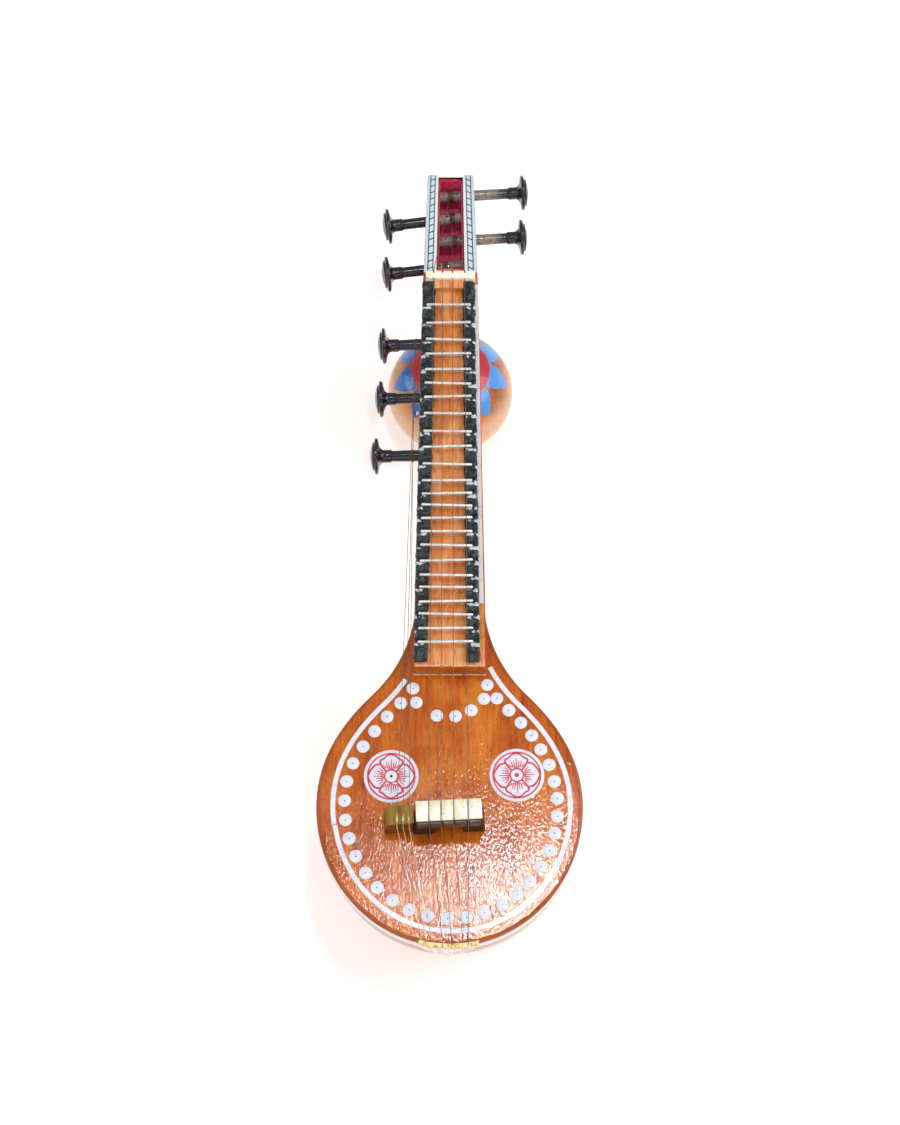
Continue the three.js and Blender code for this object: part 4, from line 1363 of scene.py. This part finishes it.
def tail_brass_material():
    """Brass, bright along the top edge and rubbed pale on the face below it."""
    paint = Paint("tail_brass_strip")
    z = paint.axes(paint.place())[2]
    mottle = paint.noise(paint.place(), 300, 4, 0.65)
    top = TOP_Z * MM
    below = 1 - paint.step(z + (mottle - 0.5) * 0.002, top - 0.0012, top - 0.0002)
    gold = paint.mix(colour("a8843c"), colour("ecd9a0"), paint.step(mottle, 0.35, 0.6))
    rubbed = paint.mix(colour("b9b4ac"), colour("f0eff0"), paint.step(mottle, 0.35, 0.6))
    base = paint.mix(gold, rubbed, below * 0.8)
    normal = paint.bump(mottle, 0.05, 0.5)
    return paint.finish(base_color=base, roughness=0.32 + mottle * 0.15, metallic=0.5, normal=normal)


def drone_string_material():
    """Dark wire along the neck, with a painted highlight between the side bridge and the tail."""
    paint = Paint("drone_string_wire")
    y = paint.axes(paint.place())[1]
    behind = 1 - paint.step(y, TAIL_Y + 0.066, TAIL_Y + 0.072)
    mottle = paint.noise(paint.place(), 300, 3, 0.6)
    base = paint.mix(colour("54463c"), colour("8a7768"), mottle)
    # Painted highlight: pale gold behind the side bridge, where the wire glints.
    base = paint.mix(base, colour("e6cc9c"), behind * 0.9)
    return paint.finish(base_color=base, roughness=0.35 + mottle * 0.1, metallic=0.6)


def inlay_material(name, light, dark, rough=0.35, coat=0.15):
    """A smooth inlay, binding, pale line of glue and painted highlight, or ink, with fine scratches."""
    paint = Paint(name)
    mottle = paint.noise(paint.place(), 240, 3, 0.6)
    base = paint.mix(colour(dark), colour(light), paint.step(mottle, 0.34, 0.5))
    scratch = paint.step(paint.noise(paint.place((1, 0.1, 1)), 900, 2), 0.64, 0.74)
    base = paint.mix(base, colour("a8a29a"), scratch * 0.25)
    normal = paint.bump(mottle, 0.06, 0.5)
    rough = rough + mottle * 0.1
    return paint.finish(base_color=base, roughness=rough, coat_weight=coat, normal=normal)


def bridge_brass_material():
    """Brass painted nearly white for its highlight, with a few olive stains."""
    paint = Paint("bridge_brass_pale")
    mottle = paint.noise(paint.place((1, 0.6, 1)), 180, 4, 0.65)
    stain = paint.step(paint.noise(paint.place(), 420, 3, 0.6), 0.58, 0.72)
    # Painted highlight: the brass's tones are nearly white.
    base = paint.mix(colour("f6ecc8"), colour("fffdf0"), paint.step(mottle, 0.38, 0.6))
    base = paint.mix(base, colour("a8955a"), stain * 0.5)
    normal = paint.bump(mottle, 0.05, 0.5)
    return paint.finish(base_color=base, roughness=0.35 + mottle * 0.1, metallic=0.35, normal=normal)


def ladder_material():
    """The strip's pattern: two dark lines with slanting rungs between them, on a pale ground."""
    paint = Paint("ladder_pattern")
    across = paint.attribute("across")
    rungs = paint.attribute("rungs")
    wear = paint.noise(paint.place(), 500, 3, 0.6)
    shift = rungs + (across - 0.5) * 0.62 + (wear - 0.5) * 0.08
    phase = shift.maths("FRACT")
    rung = paint.band(phase, 0.5, 0.082, 0.025)
    inside = paint.step(across, 0.27, 0.3) * (1 - paint.step(across, 0.68, 0.71))
    inner_line = paint.band(across, 0.285, 0.042, 0.014)
    line = inner_line.maths("MAXIMUM", paint.band(across, 0.695, 0.042, 0.014))
    mark = line.maths("MAXIMUM", rung * inside)
    pale = paint.mix(colour("e9eef2"), colour("cfdbe2"), paint.step(across, 0.7, 0.74))
    pale = paint.mix(pale, colour("d2e6ee"), inside)
    pale = paint.mix(pale, colour("b9bfc0"), paint.step(wear, 0.55, 0.75) * 0.4)
    base = paint.mix(pale, colour("0f2a2e"), mark)
    normal = paint.bump(wear, 0.04, 0.4)
    return paint.finish(base_color=base, roughness=0.3 + wear * 0.15, coat_weight=0.3, normal=normal)


def nut_material():
    """Pale bone, browned on its lower edge and at the drone side."""
    paint = Paint("nut_bone")
    x, y, _ = paint.axes(paint.place())
    mottle = paint.noise(paint.place((0.6, 1, 1)), 420, 4, 0.65)
    base = paint.mix(colour("f4e6bc"), colour("fffaea"), paint.step(mottle, 0.36, 0.5))
    front = TAIL_Y + NUT[0][1] * MM
    near = 1 - paint.step(y, front + 0.0002, front + 0.0022)
    side = 1 - paint.step(x, -0.016, -0.004)
    brown = paint.step(mottle, 0.5, 0.62) * near * (side * 0.75 + 0.25)
    base = paint.mix(base, colour("a06a24"), brown * 0.9)
    normal = paint.bump(mottle, 0.1, 0.5)
    return paint.finish(base_color=base, roughness=0.3 + mottle * 0.1, coat_weight=0.3, normal=normal)


def crimson_material(tone):
    """The peg box's lining paint, scuffed on its floor, with painted shade up its walls."""
    paint = Paint("crimson_lining_paint")
    x, y, _ = paint.axes(paint.place())
    mottle = paint.noise(paint.place((1, 0.3, 1)), 160, 4, 0.6)
    base = paint.mix(colour(tone), colour("ff6088"), paint.step(mottle, 0.3, 0.7))
    scuff = paint.step(paint.noise(paint.place((1, 0.25, 1)), 330, 3, 0.65), 0.55, 0.7)
    base = paint.mix(base, colour("ffc8d6"), scuff * 0.45)
    # Painted shade: darker towards the walls, where the trough is in shadow.
    narrowing = 0.014  # how much the trough's half width shrinks with its length
    start = TAIL_Y + LINING[0][1] * MM
    half = LINING[1][0] * MM - (y - start) * narrowing
    base = paint.mix(base, colour("5e1228"), paint.step(abs(x) - half, -0.0016, -0.0002) * 0.7)
    normal = paint.bump(mottle, 0.15, 0.6)
    return paint.finish(base_color=base, roughness=0.45 + mottle * 0.2, normal=normal)


def lacquer_material(name, wear_to, wear_from, worn="a8a290"):
    """Dark lacquer, worn through along the shaft up to a distance from the middle."""
    paint = Paint(name)
    out = paint.attribute("out")
    mottle = paint.noise(paint.place(), 260, 4, 0.7)
    base = paint.mix(colour("0b0e16"), colour("1f2532"), mottle)
    wear = 1 - paint.step(out + (mottle - 0.5) * 16, wear_to, wear_from)
    base = paint.mix(base, colour(worn), wear * 0.85)
    speck = paint.step(paint.noise(paint.place(), 700, 3, 0.7), 0.5, 0.62)
    base = paint.mix(base, colour("34302a"), wear * speck * 0.75)
    normal = paint.bump(mottle, 0.08, 0.5)
    return paint.finish(base_color=base, roughness=0.2 + wear * 0.2, coat_weight=0.35, normal=normal)


def gourd_material(petal_tone):
    """The gourd's painting: a red round and nine blue petals on a brown ground, with painted shade on
    the petals' left side and a painted highlight round the widest part.
    """
    petal_count, petal_start = 9, 0.71
    middle = GOURD_STATION + 2.5
    paint = Paint("gourd_painting")
    where = paint.place(move=(0, TAIL_Y + middle * MM, 0))
    x, y, z = paint.axes(where)
    wave = paint.noise(where, 60, 3, 0.6)
    radius = (x * x + y * y).maths("SQRT")
    turn = y.maths("ARCTAN2", x)
    petals = turn * (petal_count / (2 * math.pi)) + petal_start
    phase = abs(petals.maths("FRACT") - 0.5) * 2
    upper = paint.step(z, 0.029, 0.031)
    red = (1 - paint.step(radius + (wave - 0.5) * 0.004, 0.0232, 0.0238)) * upper
    reach = (radius - 0.0228) / 0.0112
    half = (1 - reach * reach * 0.95) * 0.96 + (wave - 0.5) * 0.5
    petal = paint.step(half - phase, -0.05, 0.05) * upper
    # Painted shade: the petals are darker on the left and lighter on the right.
    blue = paint.mix(colour(petal_tone), colour("4f9bea"), paint.step(x, -0.012, 0.012))
    blue = paint.mix(blue, colour("9cc8f4"), paint.step(wave, 0.55, 0.75) * 0.5)
    base = paint.mix(colour("94501c"), colour("d48030"), paint.step(wave, 0.34, 0.62))
    # Painted highlight: a pale band round the gourd's widest part.
    base = paint.mix(base, colour("e6bd94"), paint.step(radius, 0.0325, 0.0385) * 0.65)
    base = paint.mix(base, blue, petal)
    base = paint.mix(base, colour("c62a35"), red)
    normal = paint.bump(wave, 0.25, 0.5)
    return paint.finish(base_color=base, roughness=0.28 + wave * 0.12, coat_weight=0.5, normal=normal)


def floor_material():
    paint = Paint("pale_floor")
    base = paint.mix(colour("f4f4f4"), colour("fafafa"), paint.noise(paint.place(), 3, 2))
    glow = {"emission_color": base, "emission_strength": 0.4}
    return paint.finish(base_color=base, roughness=0.9, specular_ior_level=0.1, **glow)


def all_materials(settings):
    """Every paint by its short name; a mottled one gives light, dark, roughness and metal."""
    wood = ("742e08", settings.wood_colour, "e28428")
    inlay = settings.inlay_colour
    along, across = (1, 0.2, 1), (0.4, 1, 1)
    olive = mottled_material("olive_brass_plate", "9a7c34", "5c4414", 0.3, 0.7, 200, (1, 0.12, 1))
    dark_wood = mottled_material("dark_bridge_wood", "2c211c", "0e0a08", 0.35, 0.0, 200, along)
    blocks = mottled_material("bridge_block_wood", "6a6461", "2a2625", 0.25, 0.0, 200, across)
    return {
        "wood": wood_material("varnished_wood_grain", wood),
        "board_wood": wood_material("fretboard_wood_grain", ("a04c1e", "e08a4a", "ffb880")),
        "wax": wax_material(),
        "fret": mottled_material("fret_bar_metal", "ffffff", "e0dfd8", 0.28, 0.6),
        "string": mottled_material("string_wire", "8a7768", "54463c", 0.4, 0.6, 300),
        "drone_string": drone_string_material(),
        "inlay": inlay_material("white_inlay_face", inlay, "d9dfee"),
        "binding": inlay_material("edge_binding_face", "e6e7ec", "d3d5dc"),
        "glue_and_highlight_paint": inlay_material("pale_varnish_run", "e6cdb4", "b98760", 0.3, 0.5),
        "nut": nut_material(),
        "ink": inlay_material("dark_ink", "2c2622", "17120f", 0.5, 0.0),
        "rosette_red": inlay_material("rosette_red_ink", "d62643", "b81e38", 0.4, 0.0),
        "bridge_brass": bridge_brass_material(),
        "olive_brass": olive,
        "tail_brass": tail_brass_material(),
        "dark_wood": dark_wood,
        "block_wood": blocks,
        "ladder": ladder_material(),
        "crimson": crimson_material(settings.lining_colour),
        "lacquer": lacquer_material("dark_lacquer_drone", 14.0, 24.0, "3a2c2c"),
        "lacquer_melody": lacquer_material("dark_lacquer_melody", 7.0, 11.0),
        "lacquer_worn": lacquer_material("dark_lacquer_worn", 22.0, 34.0, "a0938a"),
        "gourd": gourd_material(settings.petal_colour),
    }


# ---- Stage --------------------------------------------------------------------------------


def linked(name, data):
    made = bpy.data.objects.new(name, data)
    bpy.context.scene.collection.objects.link(made)
    return made


def soft_light(name, place, aim, size, power):
    data = bpy.data.lights.new(name, "AREA")
    data.shape = "RECTANGLE"
    data.size, data.size_y = size
    data.energy = power
    light = linked(name, data)
    light.location = place
    light.rotation_euler = (Vector(aim) - Vector(place)).to_track_quat("-Z", "Y").to_euler()
    return light


def stage_camera(settings, middle):
    """A camera over the instrument, tipped toward its tail and turned a little."""
    data = bpy.data.cameras.new("stage_camera")
    data.sensor_fit = "AUTO"
    data.sensor_width = 36.0
    data.lens = settings.lens
    data.clip_start, data.clip_end = 0.01, 20
    camera = linked("stage_camera", data)
    tip, roll = settings.camera_tip, settings.camera_roll
    back = Vector((0, -math.sin(tip), math.cos(tip)))
    right, up = Vector((1, 0, 0)), Vector((0, math.cos(tip), math.sin(tip)))
    turned_right = right * math.cos(roll) + up * math.sin(roll)
    turned_up = up * math.cos(roll) - right * math.sin(roll)
    facing = Matrix((turned_right, turned_up, back)).transposed().to_4x4()
    camera.matrix_world = Matrix.Translation(middle + back * settings.camera_distance) @ facing
    return camera


def build_stage(settings):
    """A pale floor, wide soft lights, two small ones that glint on the varnish, and a camera."""
    bpy.ops.mesh.primitive_plane_add(size=60)
    floor = bpy.context.object
    floor.name = "floor"
    floor.data.materials.append(floor_material())
    middle = Vector((0, -0.0135, 0.084))
    lights = [
        soft_light("key_light", (0.95, 0.1, 0.95), middle, (0.9, 0.9), 8),
        soft_light("fill_light", (-0.9, -0.2, 0.9), middle, (1.2, 1.2), 4),
        soft_light("tail_light", (0.1, -1.1, 0.7), middle, (1.2, 0.8), 2.5),
        soft_light("varnish_light", (0.095, 0.11, 1.34), (0.045, -0.2, 0.084), (0.05, 0.05), 1.9),
        soft_light("sheen_light", (0.0, 0.1, 1.34), (0.0, -0.21, 0.084), (0.14, 0.05), 0.6),
    ]
    soft_world = bpy.data.worlds.new("soft_world")
    soft_world.use_nodes = True
    background = soft_world.node_tree.nodes["Background"]
    background.inputs["Color"].default_value = (1, 1, 1, 1)
    background.inputs["Strength"].default_value = 0.42
    scene = bpy.context.scene
    scene.world = soft_world
    scene.camera = stage_camera(settings, middle)
    scene.view_settings.view_transform = "Standard"


# ---- Operators and panel ------------------------------------------------------------------


def tone_setting(name, description, tone):
    """A colour that a user can change."""
    rgb = colour(tone)[:3]
    return bpy.props.FloatVectorProperty(
        name=name, description=description, default=rgb, subtype="COLOR", size=3, min=0, max=1
    )


class VeenaSettings(bpy.types.PropertyGroup):
    """The sizes, colours and view that a user can change."""

    seed: bpy.props.IntProperty(
        name="Seed", description="Picks the small irregularities", default=3, min=0
    )
    disc_count: bpy.props.IntProperty(
        name="Edge Discs", description="Inlaid discs along the edge line", default=35, min=8, max=60
    )
    string_diameter: bpy.props.FloatProperty(
        name="String Diameter",
        description="Thickness of every string",
        default=0.00032,
        unit="LENGTH",
    )
    wood_colour: tone_setting("Wood", "Middle tone of the varnished wood", "c05c16")
    inlay_colour: tone_setting("Inlay", "Lighter tone of the white inlay", "e9edf8")
    lining_colour: tone_setting("Lining", "Darker tone of the peg box's lining", "e0305c")
    petal_colour: tone_setting("Petals", "Darker tone of the gourd's petals", "0a62b8")
    lens: bpy.props.FloatProperty(
        name="Lens",
        description="Focal length of the camera in millimetres",
        default=76.8,
        subtype="DISTANCE_CAMERA",
    )
    camera_distance: bpy.props.FloatProperty(
        name="Camera Distance",
        description="From the camera to the instrument",
        default=1.35,
        unit="LENGTH",
    )
    camera_tip: bpy.props.FloatProperty(
        name="Camera Tip",
        description="Lean of the view from straight down",
        default=math.radians(22),
        subtype="ANGLE",
    )
    camera_roll: bpy.props.FloatProperty(
        name="Camera Roll",
        description="Turn of the view about its own axis",
        default=math.radians(0.1),
        subtype="ANGLE",
    )


PAINTS = {}


def paints(settings):
    """The materials, made when the first operator asks for them."""
    if not PAINTS:
        PAINTS.update(all_materials(settings))
    return PAINTS


class VEENA_OT_body(bpy.types.Operator):
    """Build the bowl, the soundboard and the binding between them"""

    bl_idname = "veena.body"
    bl_label = "Body"
    bl_options = {"REGISTER", "UNDO"}

    def execute(self, context):
        materials = paints(context.scene.veena)
        build_bowl(materials)
        build_soundboard(materials)
        build_body_binding(materials)
        return {"FINISHED"}


class VEENA_OT_inlay(bpy.types.Operator):
    """Build the edge line, the discs and the two rosettes on the soundboard"""

    bl_idname = "veena.inlay"
    bl_label = "Inlay"
    bl_options = {"REGISTER", "UNDO"}

    def execute(self, context):
        settings = context.scene.veena
        materials = paints(settings)
        build_edge_line(materials)
        build_discs(materials, settings)
        build_rosette("rosette_left", (-31.7, 94.7), 0.75, 0.0, materials)
        build_rosette("rosette_right", (36.5, 95.5), 1.3, math.radians(2), materials)
        return {"FINISHED"}


class VEENA_OT_neck(bpy.types.Operator):
    """Build the neck, the fretboard and their edges"""

    bl_idname = "veena.neck"
    bl_label = "Neck"
    bl_options = {"REGISTER", "UNDO"}

    def execute(self, context):
        materials = paints(context.scene.veena)
        build_neck(materials)
        build_nut_block(materials)
        build_fretboard_end(materials)
        build_guide(materials)
        return {"FINISHED"}


class VEENA_OT_frets(bpy.types.Operator):
    """Build the two wax rails and the frets set in them"""

    bl_idname = "veena.frets"
    bl_label = "Wax Rails and Frets"
    bl_options = {"REGISTER", "UNDO"}

    def execute(self, context):
        materials = paints(context.scene.veena)
        build_rail("left", (-19.8, -16.1), (-12.6, -8.8), materials)
        build_rail("right", (9.3, 7.2), (16.2, 14.0), materials)
        build_frets(materials)
        return {"FINISHED"}


class VEENA_OT_peg_box(bpy.types.Operator):
    """Build the peg box with its lining, ladder strips, nut and scroll"""

    bl_idname = "veena.peg_box"
    bl_label = "Peg Box"
    bl_options = {"REGISTER", "UNDO"}

    def execute(self, context):
        build_peg_box(paints(context.scene.veena))
        return {"FINISHED"}


class VEENA_OT_pegs(bpy.types.Operator):
    """Build the seven turned pegs with their windings"""

    bl_idname = "veena.pegs"
    bl_label = "Pegs"
    bl_options = {"REGISTER", "UNDO"}

    def execute(self, context):
        for name in PEG_NAMES:
            build_peg(name, paints(context.scene.veena))
        return {"FINISHED"}


class VEENA_OT_strings(bpy.types.Operator):
    """Build the four melody strings and the three drone strings"""

    bl_idname = "veena.strings"
    bl_label = "Strings"
    bl_options = {"REGISTER", "UNDO"}

    def execute(self, context):
        settings = context.scene.veena
        build_strings(paints(settings), settings)
        return {"FINISHED"}


class VEENA_OT_bridges(bpy.types.Operator):
    """Build the bridge, the side bridge and the tailpiece"""

    bl_idname = "veena.bridges"
    bl_label = "Bridges and Tailpiece"
    bl_options = {"REGISTER", "UNDO"}

    def execute(self, context):
        materials = paints(context.scene.veena)
        build_bridge(materials)
        build_side_bridge_grooves(materials)
        build_tailpiece(materials)
        return {"FINISHED"}


class VEENA_OT_gourd(bpy.types.Operator):
    """Build the painted gourd and its collar"""

    bl_idname = "veena.gourd"
    bl_label = "Gourd"
    bl_options = {"REGISTER", "UNDO"}

    def execute(self, context):
        build_gourd(paints(context.scene.veena))
        return {"FINISHED"}


class VEENA_OT_stage(bpy.types.Operator):
    """Build the floor, the lights and the camera"""

    bl_idname = "veena.stage"
    bl_label = "Stage"
    bl_options = {"REGISTER", "UNDO"}

    def execute(self, context):
        build_stage(context.scene.veena)
        return {"FINISHED"}


OPERATORS = (
    VEENA_OT_body,
    VEENA_OT_inlay,
    VEENA_OT_neck,
    VEENA_OT_frets,
    VEENA_OT_peg_box,
    VEENA_OT_pegs,
    VEENA_OT_strings,
    VEENA_OT_bridges,
    VEENA_OT_gourd,
    VEENA_OT_stage,
)


class VEENA_PT_panel(bpy.types.Panel):
    """Lists the settings and the operators in the sidebar."""

    bl_idname = "VEENA_PT_panel"
    bl_label = "Miniature Veena"
    bl_space_type = "VIEW_3D"
    bl_region_type = "UI"
    bl_category = "Veena"

    def draw(self, context):
        for key in VeenaSettings.__annotations__:
            self.layout.prop(context.scene.veena, key)
        for operator in OPERATORS:
            self.layout.operator(operator.bl_idname)


CLASSES = (VeenaSettings, *OPERATORS, VEENA_PT_panel)


def register():
    for each in CLASSES:
        bpy.utils.register_class(each)
    bpy.types.Scene.veena = bpy.props.PointerProperty(type=VeenaSettings)


def unregister():
    del bpy.types.Scene.veena
    for each in reversed(CLASSES):
        bpy.utils.unregister_class(each)


def main():
    register()
    for operator in OPERATORS:
        getattr(bpy.ops.veena, operator.bl_idname.split(".")[1])()


if __name__ == "__main__":
    main()
